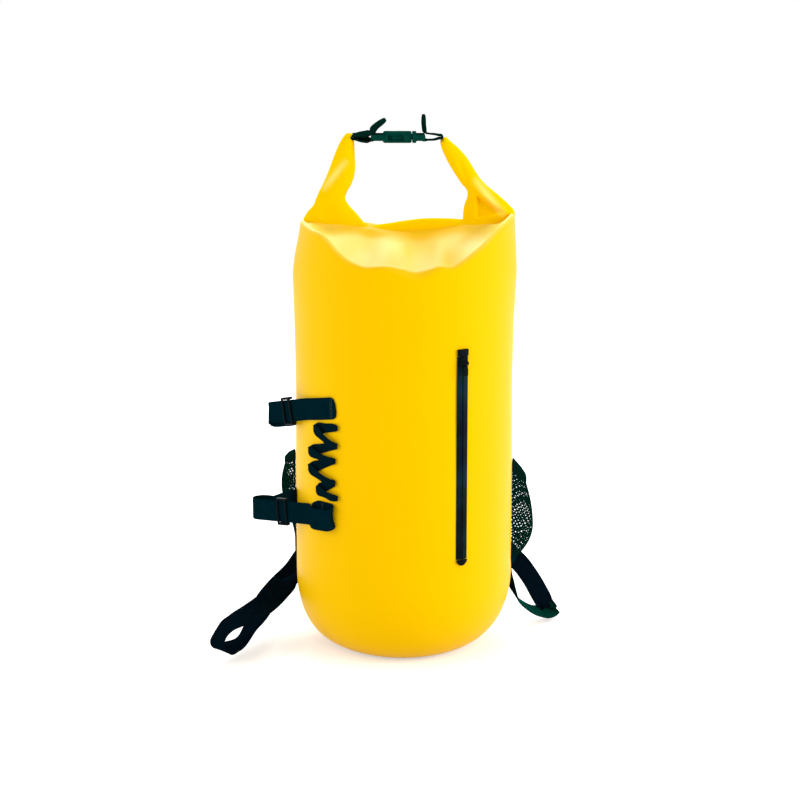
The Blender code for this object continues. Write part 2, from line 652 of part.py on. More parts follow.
def make_closure(tarpaulin, webbing, plastic):
    """Both arms, the buckle and its webbing."""
    left = (ARM_HEIGHT + LEFT_ARM_EXTRA_HEIGHT, LEFT_ARM_CENTRE, LEFT_ARM_HALF_WIDTH)
    right = (ARM_HEIGHT, RIGHT_ARM_CENTRE, RIGHT_ARM_HALF_WIDTH)
    make_arm("left_roll_arm", *left, tarpaulin)
    make_arm("right_roll_arm", *right, tarpaulin)
    left_gap = arm_inner_edge(*left) + LEFT_BAR_X
    right_gap = arm_inner_edge(*right) - RIGHT_BAR_X
    closure_webbing("left_closure_webbing", -1, LEFT_BAR_X, left_gap, LEFT_TAIL, webbing)
    closure_webbing("right_closure_webbing", 1, RIGHT_BAR_X, right_gap, RIGHT_TAIL, webbing)
    make_socket(plastic)
    make_plug(plastic)
    make_prong("buckle_front_prong", -1, plastic)
    make_prong("buckle_rear_prong", 1, plastic)


def on_zip(piece, height=0.0):
    """Stand a piece on the facet under the zip: its x runs across the zip and its -y points outwards."""
    place(piece, outwards(ZIP_AZIMUTH) * FACET_DISTANCE + np.array([0, 0, height]),
          (around(ZIP_AZIMUTH), -outwards(ZIP_AZIMUTH), (0, 0, 1)))


def make_zip(tape, plastic, tarpaulin):
    """Tapes, coil, end caps, slider and pull, and the pouch sheet behind the zip."""
    back, half = -CLEARANCE, ZIP_WIDTH / 2
    tape_face = back - ZIP_TAPE_THICKNESS
    coil_face = back - ZIP_COIL_HEIGHT
    half_coil = ZIP_COIL_WIDTH / 2
    low, high = ZIP_BOTTOM, ZIP_TOP
    on_zip(box_piece("zip_left_tape", (-half, tape_face, low), (-half_coil - CLEARANCE, back, high), tape))
    on_zip(box_piece("zip_right_tape", (half_coil + CLEARANCE, tape_face, low), (half, back, high), tape))
    on_zip(box_piece("zip_coil", (-half_coil, coil_face, low), (half_coil, back, high), plastic))
    cap_face = back - ZIP_CAP_THICKNESS
    garage = box_piece("zip_garage", (-half, cap_face, high + CLEARANCE),
                       (half, back, high + ZIP_CAP_LENGTH), plastic)
    bevel(garage, ZIP_CAP_THICKNESS / 4)
    on_zip(garage)
    angles = np.radians(np.linspace(180, 360, 9))
    x, z = half * np.cos(angles), low - CLEARANCE + half * np.sin(angles)
    rings = np.array([np.column_stack([x, np.full_like(x, y), z]) for y in (cap_face, back)])
    on_zip(loft_piece("zip_bottom_stop", rings, plastic))
    make_slider(coil_face - CLEARANCE, plastic)

    inner = FACET_DISTANCE - TARPAULIN_WALL - CLEARANCE
    azimuths = (ZIP_AZIMUTH - POUCH_HALF_SPREAD, ZIP_AZIMUTH + POUCH_HALF_SPREAD)
    heights = (ZIP_BOTTOM - POUCH_MARGIN, ZIP_TOP + POUCH_MARGIN)
    sheet_between("zip_pocket_pouch", azimuths, heights, inner, -POUCH_DEPTH, -POUCH_WALL, dome, tarpaulin)


def make_slider(back, plastic):
    """The slider with two lugs and a pin, and the pull tab whose eye hangs on that pin."""
    half = SLIDER_WIDTH / 2
    face = back - SLIDER_THICKNESS
    half_length = SLIDER_LENGTH / 2
    slider = box_piece("zip_slider", (-half, face, -half_length), (half, back, half_length), plastic)
    bevel(slider, SLIDER_THICKNESS / 4)
    gap = PULL_NECK_WIDTH / 2 + CLEARANCE
    pin_y = face - BRIDGE_HEIGHT
    lug = PULL_EYE_RADIUS
    for side, name in ((-1, "left_lug"), (1, "right_lug")):
        ends = sorted((side * gap, side * (gap + LUG_THICKNESS)))
        join(slider, (ends[0], pin_y - lug, -lug), (ends[1], face + SLIDER_THICKNESS / 2, lug), name)
    angle = 2 * math.pi * np.arange(10) / 10
    pin_ring = np.stack([0 * angle, np.cos(angle), np.sin(angle)], axis=1) * BRIDGE_PIN_RADIUS
    reach = gap + LUG_THICKNESS / 2
    pin = loft_piece("bridge_pin", np.array([pin_ring + (x, pin_y, 0) for x in (-reach, reach)]), plastic)
    shape_with(slider, pin, 'UNION')
    middle = ZIP_TOP - SLIDER_DROP - half_length
    for thing in (slider, *[m.object for m in slider.modifiers if m.type == 'BOOLEAN']):
        on_zip(thing, middle)

    hole = BRIDGE_PIN_RADIUS + BAR_CLEARANCE
    neck = PULL_NECK_WIDTH / 2
    circle = np.stack([0 * angle, np.cos(angle), np.sin(angle)], axis=1)
    rim = circle * PULL_EYE_RADIUS
    eye = loft_piece("zip_pull", np.array([rim + (x, 0, 0) for x in (-neck, neck)]), plastic)
    thick, half_tab = PULL_THICKNESS / 2, PULL_WIDTH / 2
    tab_top = PULL_TAB_LENGTH - PULL_LENGTH
    join(eye, (-neck, -thick, tab_top - PULL_EYE_RADIUS), (neck, thick, -PULL_EYE_RADIUS / 2), "pull_neck")
    join(eye, (-half_tab, -thick, -PULL_LENGTH), (half_tab, thick, tab_top), "pull_tab")
    bore = circle * hole
    drill = loft_piece("pull_bore", np.array([bore + (x, 0, 0) for x in (-2 * neck, 2 * neck)]), plastic)
    shape_with(eye, drill, 'DIFFERENCE')
    pivot = outwards(ZIP_AZIMUTH) * (FACET_DISTANCE - pin_y) + np.array([0, 0, middle])
    for thing in (eye, *[m.object for m in eye.modifiers]):
        place(thing, pivot, (around(ZIP_AZIMUTH), -outwards(ZIP_AZIMUTH), (0, 0, 1)))


def dome(across, up):
    """Share of the full bulge: zero along all four edges."""
    return np.sin(math.pi * across) ** SIDE_FULLNESS * np.sin(math.pi * up) ** END_FULLNESS


def bag_shape(peak, mouth):
    """Bulge of a pocket: zero at its sides and bottom, fullest at a peak, drawn in at its mouth."""
    def share(across, up):
        below = 1 - (1 - up / peak) ** 2
        above = 1 - (1 - mouth) * ((up - peak) / (1 - peak)) ** 2
        return np.sin(math.pi * across) ** SIDE_FULLNESS * np.where(up < peak, below, above)
    return share


def sheet_between(name, azimuths, heights, radius, bulge, wall, shape, material, columns=13, rows=10):
    """A curved sheet that stands off the bag by a bulge, with its edges on a given radius."""
    across = np.linspace(0, 1, columns)[None, :]
    up = np.linspace(0, 1, rows)[:, None]
    angle = np.radians(azimuths[0] + (azimuths[1] - azimuths[0]) * across)
    height = heights[0] + (heights[1] - heights[0]) * up + 0 * across
    near = radius + bulge * shape(across, up)
    layers = []
    for reach in (near + wall, near):
        layers.append(np.stack([reach * np.sin(angle), -reach * np.cos(angle), height], axis=2))
    return sheet_piece(name, layers[0], layers[1], material)


def make_pocket(side, azimuths, height, bulge, peak, mouth, mesh, webbing):
    """A mesh pocket, open at the top, and the elastic band on its top edge."""
    shape = bag_shape(peak, mouth)
    top = POCKET_BOTTOM + height
    heights = (POCKET_BOTTOM, top)
    sheet_between(side + "_mesh_pocket", azimuths, heights, SEAT, bulge, POCKET_WALL, shape, mesh)
    across = np.linspace(0, 1, 17)
    reach = SEAT + bulge * shape(across, np.ones(17)) + HEM_THICKNESS / 2
    angle = np.radians(azimuths[0] + (azimuths[1] - azimuths[0]) * across)
    level = np.full(17, top + CLEARANCE + HEM_HEIGHT / 2)
    path = np.stack([reach * np.sin(angle), -reach * np.cos(angle), level], axis=1)
    ribbon_piece(side + "_pocket_hem", path, HEM_HEIGHT, HEM_THICKNESS, webbing, (0, 0, 1))


def touching_angle(point, centre, radius, side):
    """Angle on a level circle where a line from a point touches it, on the side named by a sign."""
    away = (point - centre)[:2]
    return math.atan2(away[1], away[0]) + side * math.acos(radius / np.linalg.norm(away))


def make_side_strap(word, reach, heights, bow, webbing, plastic):
    """A strap from its sewn front end, out through its slide, round a loop and back to the wall."""
    lie = SEAT + SIDE_WEBBING_THICKNESS / 2
    front_height, leave_height, loop_height, sewn_height = heights
    front = []
    for share in np.linspace(0, 1, 6):
        azimuth = STRAP_FRONT_AZIMUTH + (STRAP_LEAVE_AZIMUTH - STRAP_FRONT_AZIMUTH) * share
        stand_off = STRAP_LIFT * share + bow * math.sin(math.pi * share) ** 2
        front.append(at(azimuth, lie + stand_off, front_height + (leave_height - front_height) * share))
    start = front[-1]
    back = at(STRAP_RETURN_AZIMUTH, lie + STRAP_TURN_RADIUS, sewn_height)
    centre = at(STRAP_END_AZIMUTH, BODY_RADIUS + reach - STRAP_TURN_RADIUS, loop_height)
    first = touching_angle(start, centre, STRAP_TURN_RADIUS, -1)
    last = touching_angle(back, centre, STRAP_TURN_RADIUS, 1)
    angles = np.linspace(first, last - 2 * math.pi * (last > first), 9)
    circle = np.stack([np.cos(angles), np.sin(angles), 0 * angles], axis=1)
    loop = centre + STRAP_TURN_RADIUS * circle
    run_length = np.linalg.norm((loop[0] - start)[:2])
    arc_length = STRAP_TURN_RADIUS * abs(angles[-1] - angles[0])
    sag = (leave_height - loop_height) * arc_length / (2 * run_length + arc_length)
    loop[:, 2] += sag * np.linspace(1, 0, 9) ** 2
    sewn = [at(azimuth, lie, sewn_height) for azimuth in
            np.linspace(STRAP_RETURN_AZIMUTH, STRAP_SEWN_AZIMUTH, 5)[1:]]
    path = np.array(front + list(loop) + [back] + sewn)
    width, thickness = SIDE_WEBBING_WIDTH, SIDE_WEBBING_THICKNESS
    ribbon_piece(word + "_side_strap", path, width, thickness, webbing, (0, 0, 1))

    out = unit(loop[0] - start)
    across = square_to(out, np.array([0, 0, -1.0]))
    slide = three_bar_slide(word + "_tri_glide", GLIDE_HALF_LENGTH, GLIDE_HALF_THICKNESS, GLIDE_RAIL,
                            GLIDE_BAR, width, thickness, plastic)
    for thing in (slide, *[m.object for m in slide.modifiers]):
        place(thing, (start + loop[0]) / 2, (out, across, np.cross(out, across)))


def three_bar_slide(name, half_length, half_thickness, rail, bar, width, thickness, plastic):
    """A frame with two outer bars in front of the webbing and a middle bar behind it.

    Its x runs along the webbing, its y across it, and its z away from the webbing's face.
    """
    inner = width / 2 + BAR_CLEARANCE
    outer = inner + rail
    clear = thickness / 2 + BAR_CLEARANCE
    slide = box_piece(name, (-half_length, -outer, -half_thickness),
                      (half_length, outer, half_thickness), plastic)
    cut(slide, (-2 * half_length, -inner, -2 * half_thickness), (2 * half_length, inner, clear),
        name + "_way")
    cut(slide, (-half_length + bar, -inner, 0), (half_length - bar, inner, 2 * half_thickness),
        name + "_window")
    join(slide, (-bar / 2, -inner - rail / 2, -half_thickness), (bar / 2, inner + rail / 2, -clear),
         name + "_middle")
    return slide


def racetrack(turn, half_length, radius):
    """Place on a long loop with round ends, for a turn in radians: along its length and across it."""
    stage = (turn / (math.pi / 2)) % 4
    corners = range(5)
    straight = half_length - radius
    middle = np.interp(stage, corners, [straight, -straight, -straight, straight, straight])
    angle = np.interp(stage, corners, np.radians([90, 90, 270, 270, 450]))
    return middle + radius * np.cos(angle), radius * np.sin(angle)


def make_lacing(webbing):
    """A flat elastic ribbon that curls down the flank between the two straps."""
    turn = np.linspace(0, 2 * math.pi * LACING_TURNS, 20 * LACING_TURNS + 1)
    half_length = math.radians(LACING_HALF_SPREAD) * BODY_RADIUS
    along, away = racetrack(turn, half_length, LACING_LOFT)
    azimuth = math.radians(LACING_AZIMUTH) + along / BODY_RADIUS
    reach = SEAT + LACING_THICKNESS / 2 + LACING_LOFT + away
    height = LACING_TOP + (LACING_BOTTOM - LACING_TOP) * turn / turn[-1]
    path = np.stack([reach * np.sin(azimuth), -reach * np.cos(azimuth), height], axis=1)
    ribbon_piece("side_lacing", path, LACING_WIDTH, LACING_THICKNESS, webbing, (0, 0, 1))


def pad_station(side, share):
    """Azimuth, distance from the axis and height along a shoulder pad's middle, from top to bottom."""
    azimuth = side * (PAD_TOP_AZIMUTH + (PAD_BOTTOM_AZIMUTH - PAD_TOP_AZIMUTH) * share)
    stand_off = PAD_STAND_OFF * share + PAD_BOW * math.sin(math.pi * share)
    distance = SEAT + PAD_THICKNESS / 2 + stand_off
    return azimuth, distance, YOKE_BOTTOM - CLEARANCE - PAD_LENGTH * share


def make_pad(name, side, padding):
    """A padded strap that hangs from the yoke and bows away from the bag's back."""
    rings = []
    for share in np.linspace(0, 1, PAD_STATIONS):
        azimuth, distance, height = pad_station(side, share)
        width = PAD_TOP_WIDTH + (PAD_BOTTOM_WIDTH - PAD_TOP_WIDTH) * share
        section = rounded_section(width / 2, PAD_THICKNESS / 2, PAD_SIDES, PAD_SQUARENESS)
        rings.append(at(azimuth, distance, height) + section[:, :1] * around(azimuth)
                     + section[:, 1:] * outwards(azimuth))
    loft_piece(name, np.array(rings), padding)


def make_harness_side(word, side, route, webbing, plastic, padding, tarpaulin):
    """One shoulder strap: its pad, its ladder lock, the slack lower webbing and the tab that holds it."""
    make_pad(word + "_shoulder_pad", side, padding)
    azimuth, distance, _ = pad_station(side, 1.0)
    width, thickness = HARNESS_WEBBING_WIDTH, HARNESS_WEBBING_THICKNESS
    lock = three_bar_slide(word + "_ladder_lock", LOCK_HEIGHT / 2, LOCK_HALF_THICKNESS, LOCK_RAIL, LOCK_BAR,
                           width, thickness, plastic)
    middle = at(azimuth, distance, (LOCK_TOP + LOCK_BOTTOM) / 2)
    down = np.array([0.0, 0.0, -1.0])
    along = np.cross(outwards(azimuth), down)
    parts = (lock, *[m.object for m in lock.modifiers if m.type == 'BOOLEAN'])
    marker = empty_at(word + "_lock_pivot", at(azimuth, distance + LOCK_HALF_THICKNESS, LOCK_TOP))
    for thing in parts:
        place(thing, middle, (down, along, outwards(azimuth)))
    bpy.context.view_layer.update()
    hang_on(lock, marker)

    tab = side * ANCHOR_AZIMUTH
    azimuths = (tab - ANCHOR_HALF_SPREAD, tab + ANCHOR_HALF_SPREAD)
    sheet_between(word + "_anchor_tab", azimuths, (ANCHOR_BOTTOM, ANCHOR_BOTTOM + ANCHOR_HEIGHT), SEAT, 0.0,
                  ANCHOR_THICKNESS, dome, tarpaulin, 5, 4)
    lie = SEAT + ANCHOR_THICKNESS + CLEARANCE + thickness
    sewn = [at(tab, lie, ANCHOR_BOTTOM + ANCHOR_HEIGHT * share) for share in ANCHOR_SHARES]
    begin = at(azimuth, distance, LOCK_TOP - WEBBING_START)
    below = at(azimuth, distance, LOCK_BOTTOM - WEBBING_BELOW_LOCK)
    slack = [at(side * turn, SEAT + away, LOCK_BOTTOM * height) for turn, away, height in route]
    path = np.vstack([begin[None, :], smooth_path([below] + slack + sewn, 3)])
    across = carried_width(path, -side * around(azimuth), around(tab), 3 * (len(sewn) - 1))
    ribbon_piece(word + "_adjuster_webbing", path, width, thickness, webbing, across)


def make_harness(webbing, plastic, padding, tarpaulin):
    """The yoke on the bag's back and the two shoulder straps."""
    sheet_between("yoke_patch", (180 - YOKE_HALF_SPREAD, 180 + YOKE_HALF_SPREAD),
                  (YOKE_BOTTOM, YOKE_BOTTOM + YOKE_HEIGHT), SEAT, 0.0, YOKE_THICKNESS, dome, tarpaulin, 17, 4)
    make_harness_side("left", -1, LEFT_ROUTE, webbing, plastic, padding, tarpaulin)
    make_harness_side("right", 1, RIGHT_ROUTE, webbing, plastic, padding, tarpaulin)


def main():
    """Build every piece."""
    clear_scene()
    tarpaulin = finish("yellow_tarpaulin", YELLOW, 0.35)
    webbing = finish("black_webbing", NEAR_BLACK, 0.7)
    plastic = finish("black_plastic", BUCKLE_GREEN_BLACK, 0.4)
    tape = finish("coated_zip_tape", NEAR_BLACK, 0.45)
    mesh = finish("black_mesh", MESH_BLACK, 0.8)
    padding = finish("padded_fabric", NEAR_BLACK, 0.85)
    make_bag(tarpaulin)
    make_roll(tarpaulin, plastic)
    make_closure(tarpaulin, webbing, plastic)
    make_zip(tape, plastic, tarpaulin)
    make_side_strap("upper", UPPER_STRAP_REACH, UPPER_STRAP_HEIGHTS, UPPER_STRAP_BOW, webbing, plastic)
    make_side_strap("lower", LOWER_STRAP_REACH, LOWER_STRAP_HEIGHTS, LOWER_STRAP_BOW, webbing, plastic)
    make_lacing(webbing)
    make_pocket("right", RIGHT_POCKET_AZIMUTHS, RIGHT_POCKET_HEIGHT, RIGHT_POCKET_BULGE,
                RIGHT_POCKET_PEAK, RIGHT_POCKET_MOUTH, mesh, webbing)
    make_pocket("left", LEFT_POCKET_AZIMUTHS, LEFT_POCKET_HEIGHT, LEFT_POCKET_BULGE,
                LEFT_POCKET_PEAK, LEFT_POCKET_MOUTH, mesh, webbing)
    make_harness(webbing, plastic, padding, tarpaulin)


main()
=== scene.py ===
# %% [markdown]
# # A roll-top dry bag backpack
# The imported model already holds every piece at its real size and place. This lesson dresses it: each
# piece gets a surface of its own, and each surface gets a finish made of shader nodes. First the packed
# model is loaded.

# %% Load the frame
import math

import bmesh
import bpy
import numpy as np
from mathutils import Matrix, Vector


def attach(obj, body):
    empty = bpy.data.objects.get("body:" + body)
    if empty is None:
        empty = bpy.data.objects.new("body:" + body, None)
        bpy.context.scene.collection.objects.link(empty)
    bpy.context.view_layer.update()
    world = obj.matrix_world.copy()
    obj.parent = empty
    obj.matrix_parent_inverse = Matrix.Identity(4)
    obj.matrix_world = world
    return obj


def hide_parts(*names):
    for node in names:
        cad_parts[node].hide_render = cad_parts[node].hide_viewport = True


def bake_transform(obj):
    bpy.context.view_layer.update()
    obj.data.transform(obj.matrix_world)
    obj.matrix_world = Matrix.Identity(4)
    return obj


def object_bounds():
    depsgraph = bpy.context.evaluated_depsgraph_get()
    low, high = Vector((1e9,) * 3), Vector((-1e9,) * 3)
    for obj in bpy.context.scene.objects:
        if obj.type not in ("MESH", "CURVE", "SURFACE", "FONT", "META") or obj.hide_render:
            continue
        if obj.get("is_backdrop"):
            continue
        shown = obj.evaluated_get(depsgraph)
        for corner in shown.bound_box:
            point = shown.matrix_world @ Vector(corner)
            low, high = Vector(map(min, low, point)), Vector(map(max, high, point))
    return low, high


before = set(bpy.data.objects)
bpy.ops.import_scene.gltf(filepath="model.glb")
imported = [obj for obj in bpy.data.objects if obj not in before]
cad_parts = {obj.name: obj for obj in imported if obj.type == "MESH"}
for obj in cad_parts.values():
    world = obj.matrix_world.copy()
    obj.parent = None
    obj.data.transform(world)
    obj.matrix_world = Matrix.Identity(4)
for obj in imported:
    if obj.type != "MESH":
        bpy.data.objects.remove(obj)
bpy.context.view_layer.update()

scene = bpy.context.scene

# %% [markdown]
# ## Camera
# The photograph looks at the bag from straight in front and a little above. A long lens far away would
# flatten it and a short one close by would swell it. The place below makes the base, the roll and both
# webbing bights fall where the photograph has them.

# %% Camera
VIEW_ELEVATION = math.radians(12)
VIEW_DISTANCE = 2.2
VIEW_TARGET = (-0.00456, 0.0, 0.282)
LENS = 86.84

camera = bpy.data.objects.new("camera", bpy.data.cameras.new("camera"))
camera.data.lens = LENS
camera.location = (VIEW_TARGET[0], -VIEW_DISTANCE * math.cos(VIEW_ELEVATION),
                   VIEW_TARGET[2] + VIEW_DISTANCE * math.sin(VIEW_ELEVATION))
camera.rotation_euler = (math.pi / 2 - VIEW_ELEVATION, 0, 0)
scene.collection.objects.link(camera)
scene.camera = camera
scene.view_settings.view_transform = 'Standard'
print("camera at", [round(value, 3) for value in camera.location])

# %% [markdown]
# ## Shader nodes in words
# A finish is a small tree of nodes. Wiring them one by one takes many lines, so one helper adds a node,
# sets its options, and fills each input with either a number or a wire from another node.


# %% Node helper
def node(tree, kind, options=None, **inputs):
    """Add a node; an input named by a word or by its place takes a number, a colour or a socket."""
    made = tree.nodes.new("ShaderNode" + kind)
    for name, value in (options or {}).items():
        setattr(made, name, value)
    for name, value in inputs.items():
        place = int(name[1:]) if name[1:].isdigit() else name.replace("_", " ")
        socket = made.inputs[place]
        if isinstance(value, bpy.types.NodeSocket):
            tree.links.new(value, socket)
        else:
            socket.default_value = value
    return made


def maths(tree, operation, first, second=0.0, third=0.0):
    """One step of arithmetic on numbers or sockets."""
    return node(tree, "Math", {"operation": operation}, i0=first, i1=second, i2=third).outputs[0]


def ripple(tree, socket, pitch, shift=0.0):
    """Sine of a coordinate that repeats every pitch, in metres, from -1 to 1."""
    turns = maths(tree, 'MULTIPLY_ADD', socket, 2 * math.pi / pitch, shift)
    return maths(tree, 'SINE', turns)


def new_finish(name):
    """An empty material with its tree, its Principled shader and its UV and Object coordinates."""
    material = bpy.data.materials.new(name)
    material.use_nodes = True
    tree = material.node_tree
    place = node(tree, "TexCoord")
    split = node(tree, "SeparateXYZ", Vector=place.outputs["UV"])
    return material, tree, tree.nodes["Principled BSDF"], place.outputs["Object"], split.outputs


def connect(tree, shader, colour=None, roughness=None, height=None, depth=0.0002, strength=0.6):
    """Wire a colour, a roughness and a bump height, in that order, to a Principled shader."""
    if colour is not None:
        tree.links.new(colour, shader.inputs["Base Color"])
    if roughness is not None:
        tree.links.new(roughness, shader.inputs["Roughness"])
    if height is not None:
        bump = node(tree, "Bump", Strength=strength, Distance=depth, Height=height)
        tree.links.new(bump.outputs[0], shader.inputs["Normal"])


def spread(tree, socket, low, high, from_low=0.0, from_high=1.0):
    """A number carried from one range to another."""
    return node(tree, "MapRange", i0=socket, i1=from_low, i2=from_high, i3=low, i4=high).outputs[0]


def mixed(tree, share, first, second):
    """Two colours, or a wired colour and another, mixed by a share."""
    ends = [end if isinstance(end, bpy.types.NodeSocket) else (*end, 1) for end in (first, second)]
    return node(tree, "Mix", {"data_type": 'RGBA'}, i0=share, i6=ends[0], i7=ends[1]).outputs[2]


def noise(tree, coordinates, scale, detail=2.0, roughness=0.5):
    """Soft random value from 0 to 1."""
    return node(tree, "TexNoise", Vector=coordinates, Scale=scale, Detail=detail,
                Roughness=roughness).outputs[0]


print("node helpers ready")

# %% [markdown]
# ## Studio
# The backdrop of the photograph is plain white. A white world for every ray would drown the bag in
# light, so the world shows white to the camera and to reflections only, and lights the bag with less.
# Three wide lamps add the soft direction: one higher on the right, one lower on the left, one behind.
# The floor is pale and lit a little for the camera, so it turns white but still takes the shadow.

# %% Studio
WORLD_LIGHT = 0.70
FLOOR_COLOUR = (0.86, 0.86, 0.86, 1)
FLOOR_LIFT = 0.45
FLOOR_SIZE = 5.0
FLOOR_DROP = 0.0006
LAMPS = {"right_softbox": ((2.0, -0.9, 1.0), 1.4, 25.0), "left_softbox": ((-2.1, -1.0, 0.6), 1.6, 15.0),
         "back_softbox": ((0.0, 1.65, 1.60), 1.5, 42.0)}


def seen_directly(tree):
    """1 for rays from the camera, from a mirror or through glass, 0 for light that bounces."""
    path = node(tree, "LightPath").outputs
    either = maths(tree, 'MAXIMUM', path["Is Camera Ray"], path["Is Glossy Ray"])
    return maths(tree, 'MAXIMUM', either, path["Is Transmission Ray"])


world = bpy.data.worlds.new("studio")
world.use_nodes = True
scene.world = world
backdrop = world.node_tree.nodes["Background"]
level = spread(world.node_tree, seen_directly(world.node_tree), WORLD_LIGHT, 1.0)
world.node_tree.links.new(level, backdrop.inputs["Strength"])
backdrop.inputs["Color"].default_value = (1, 1, 1, 1)

floor_finish = bpy.data.materials.new("pale_floor")
floor_finish.use_nodes = True
tree = floor_finish.node_tree
diffuse = node(tree, "BsdfDiffuse", Color=FLOOR_COLOUR)
lift = node(tree, "Emission", Strength=maths(tree, 'MULTIPLY', seen_directly(tree), FLOOR_LIFT))
both = node(tree, "AddShader", i0=diffuse.outputs[0], i1=lift.outputs[0])
tree.links.new(both.outputs[0], tree.nodes["Material Output"].inputs["Surface"])
floor_mesh = bpy.data.meshes.new("floor")
corners = np.array([(-1, -1, 0), (1, -1, 0), (1, 1, 0), (-1, 1, 0)]) * FLOOR_SIZE - (0, 0, FLOOR_DROP)
floor_mesh.from_pydata(corners.tolist(), [], [(0, 1, 2, 3)])
floor_mesh.materials.append(floor_finish)
floor = bpy.data.objects.new("floor", floor_mesh)
scene.collection.objects.link(floor)
floor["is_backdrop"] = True

for name, (place, size, power) in LAMPS.items():
    lamp = bpy.data.objects.new(name, bpy.data.lights.new(name, 'AREA'))
    lamp.data.size = size
    lamp.data.energy = power
    lamp.location = place
    aim = np.array(VIEW_TARGET) - place
    flat = math.hypot(aim[0], aim[1])
    lamp.rotation_euler = (math.atan2(flat, -aim[2]), 0, math.atan2(-aim[0], aim[1]))
    scene.collection.objects.link(lamp)
print("lamps", list(LAMPS))

# %% [markdown]
# ## Finishes
# Pictures of cloth would be quick, but they repeat and blur close up, so every finish is worked out.
# Coated tarpaulin is smooth, satin and very even. The scrim of its woven core just shows through, so a
# fine square weave tints its colour, and its gloss wanders a little. Its mirror light is tinted yellow,
# so that the wide lamps don't wash the colour out. Where hands roll and carry the sheet its coat is
# dull, and its yellow there is painted lighter, as painted light on the top of the bag. A crease
# attribute on the mesh marks a painted highlight: a pale line along a crease of each arm, and a pale
# sheen over the lid. Webbing is the opposite: all its character is in the weave, with ribs along it and
# staggered picks across; its raised threads are lighter, partly their own tone and partly a painted
# glint. One strap is painted green on its back, which a back attribute marks: a painted lit side
# beside its shaded face. Both finishes read the UV map, which every surface below lays out in metres,
# so a thread has the same width on each piece.

# %% Finishes
YELLOW = (1.0, 0.60, 0.0)
DEEP_YELLOW = (0.98, 0.55, 0.0)
# A lighter yellow for the roll and the arms: painted light for the top of the bag.
PAINTED_TOP_LIGHT_YELLOW = (1.0, 0.68, 0.0)
# Painted highlight colour: the pale yellow that the crease attribute mixes in on the arms and the lid.
HIGHLIGHT_YELLOW = (1.0, 0.82, 0.16)
TEAL_BLACK = (0.0004, 0.0085, 0.0135)
GREEN_BLACK = (0.0008, 0.0085, 0.0060)
PLASTIC_GREEN = (0.0010, 0.0150, 0.0105)
PLASTIC_BLACK = (0.0006, 0.0028, 0.0040)
# Painted reflection on the zip tape: a paler blue.
TAPE_REFLECTION_BLUE = (0.0030, 0.0210, 0.0310)
MESH_GREEN = (0.0015, 0.0220, 0.0150)
PAD_BLACK = (0.0020, 0.0045, 0.0060)
BLUE_BLACK = (0.0005, 0.0022, 0.0050)
# Lighter colours of the raised threads: partly their own tone, partly a painted glint.
TEAL_RIB_GLINT = (0.0010, 0.024, 0.034)
BLUE_RIB_GLINT = (0.0030, 0.012, 0.020)
GREEN_RIB_GLINT = (0.001, 0.046, 0.030)
# Painted lit green for the back of one strap; its face keeps the shaded blue-black.
LIT_BACK_GREEN = (0.003, 0.140, 0.090)
# The lighter colours of the elastic are likewise partly a painted glint on their raised threads.
BAND_GREEN = (0.002, 0.032, 0.022)
RIBBON_TEAL = (0.003, 0.020, 0.027)
# Painted highlights on the buckle: soft blotches of a lighter green.
BUCKLE_HIGHLIGHT_GREEN = (0.002, 0.075, 0.055)
PLASTIC_GREY = (0.003, 0.008, 0.010)
SCRIM_PITCH = 0.0011
ELASTIC_RIB, ELASTIC_PICK = 0.0009, 0.0012


def tarpaulin_finish(name, mirror, deep, bright):
    """Yellow coating: slow change of colour and gloss, the fine square scrim, and a painted highlight
    where the crease attribute is set.
    """
    material, tree, shader, place, uv = new_finish(name)
    gloss = spread(tree, noise(tree, place, 24.0, 4.0), 0.36, 0.46)
    scrim = maths(tree, 'ADD', ripple(tree, uv[0], SCRIM_PITCH), ripple(tree, uv[1], SCRIM_PITCH))
    share = maths(tree, 'MULTIPLY_ADD', scrim, 0.07, noise(tree, place, 7.0, 3.0))
    # The crease attribute carries a painted highlight: where it is set, the colour turns pale yellow.
    crease = node(tree, "Attribute", {"attribute_name": "crease"}).outputs["Fac"]
    colour = mixed(tree, crease, mixed(tree, share, deep, bright), HIGHLIGHT_YELLOW)
    connect(tree, shader, colour, gloss, noise(tree, place, 60.0, 2.0), 0.00006, 0.2)
    shader.inputs["Specular IOR Level"].default_value = mirror
    shader.inputs["Specular Tint"].default_value = (1.0, 0.62, 0.01, 1)
    return material


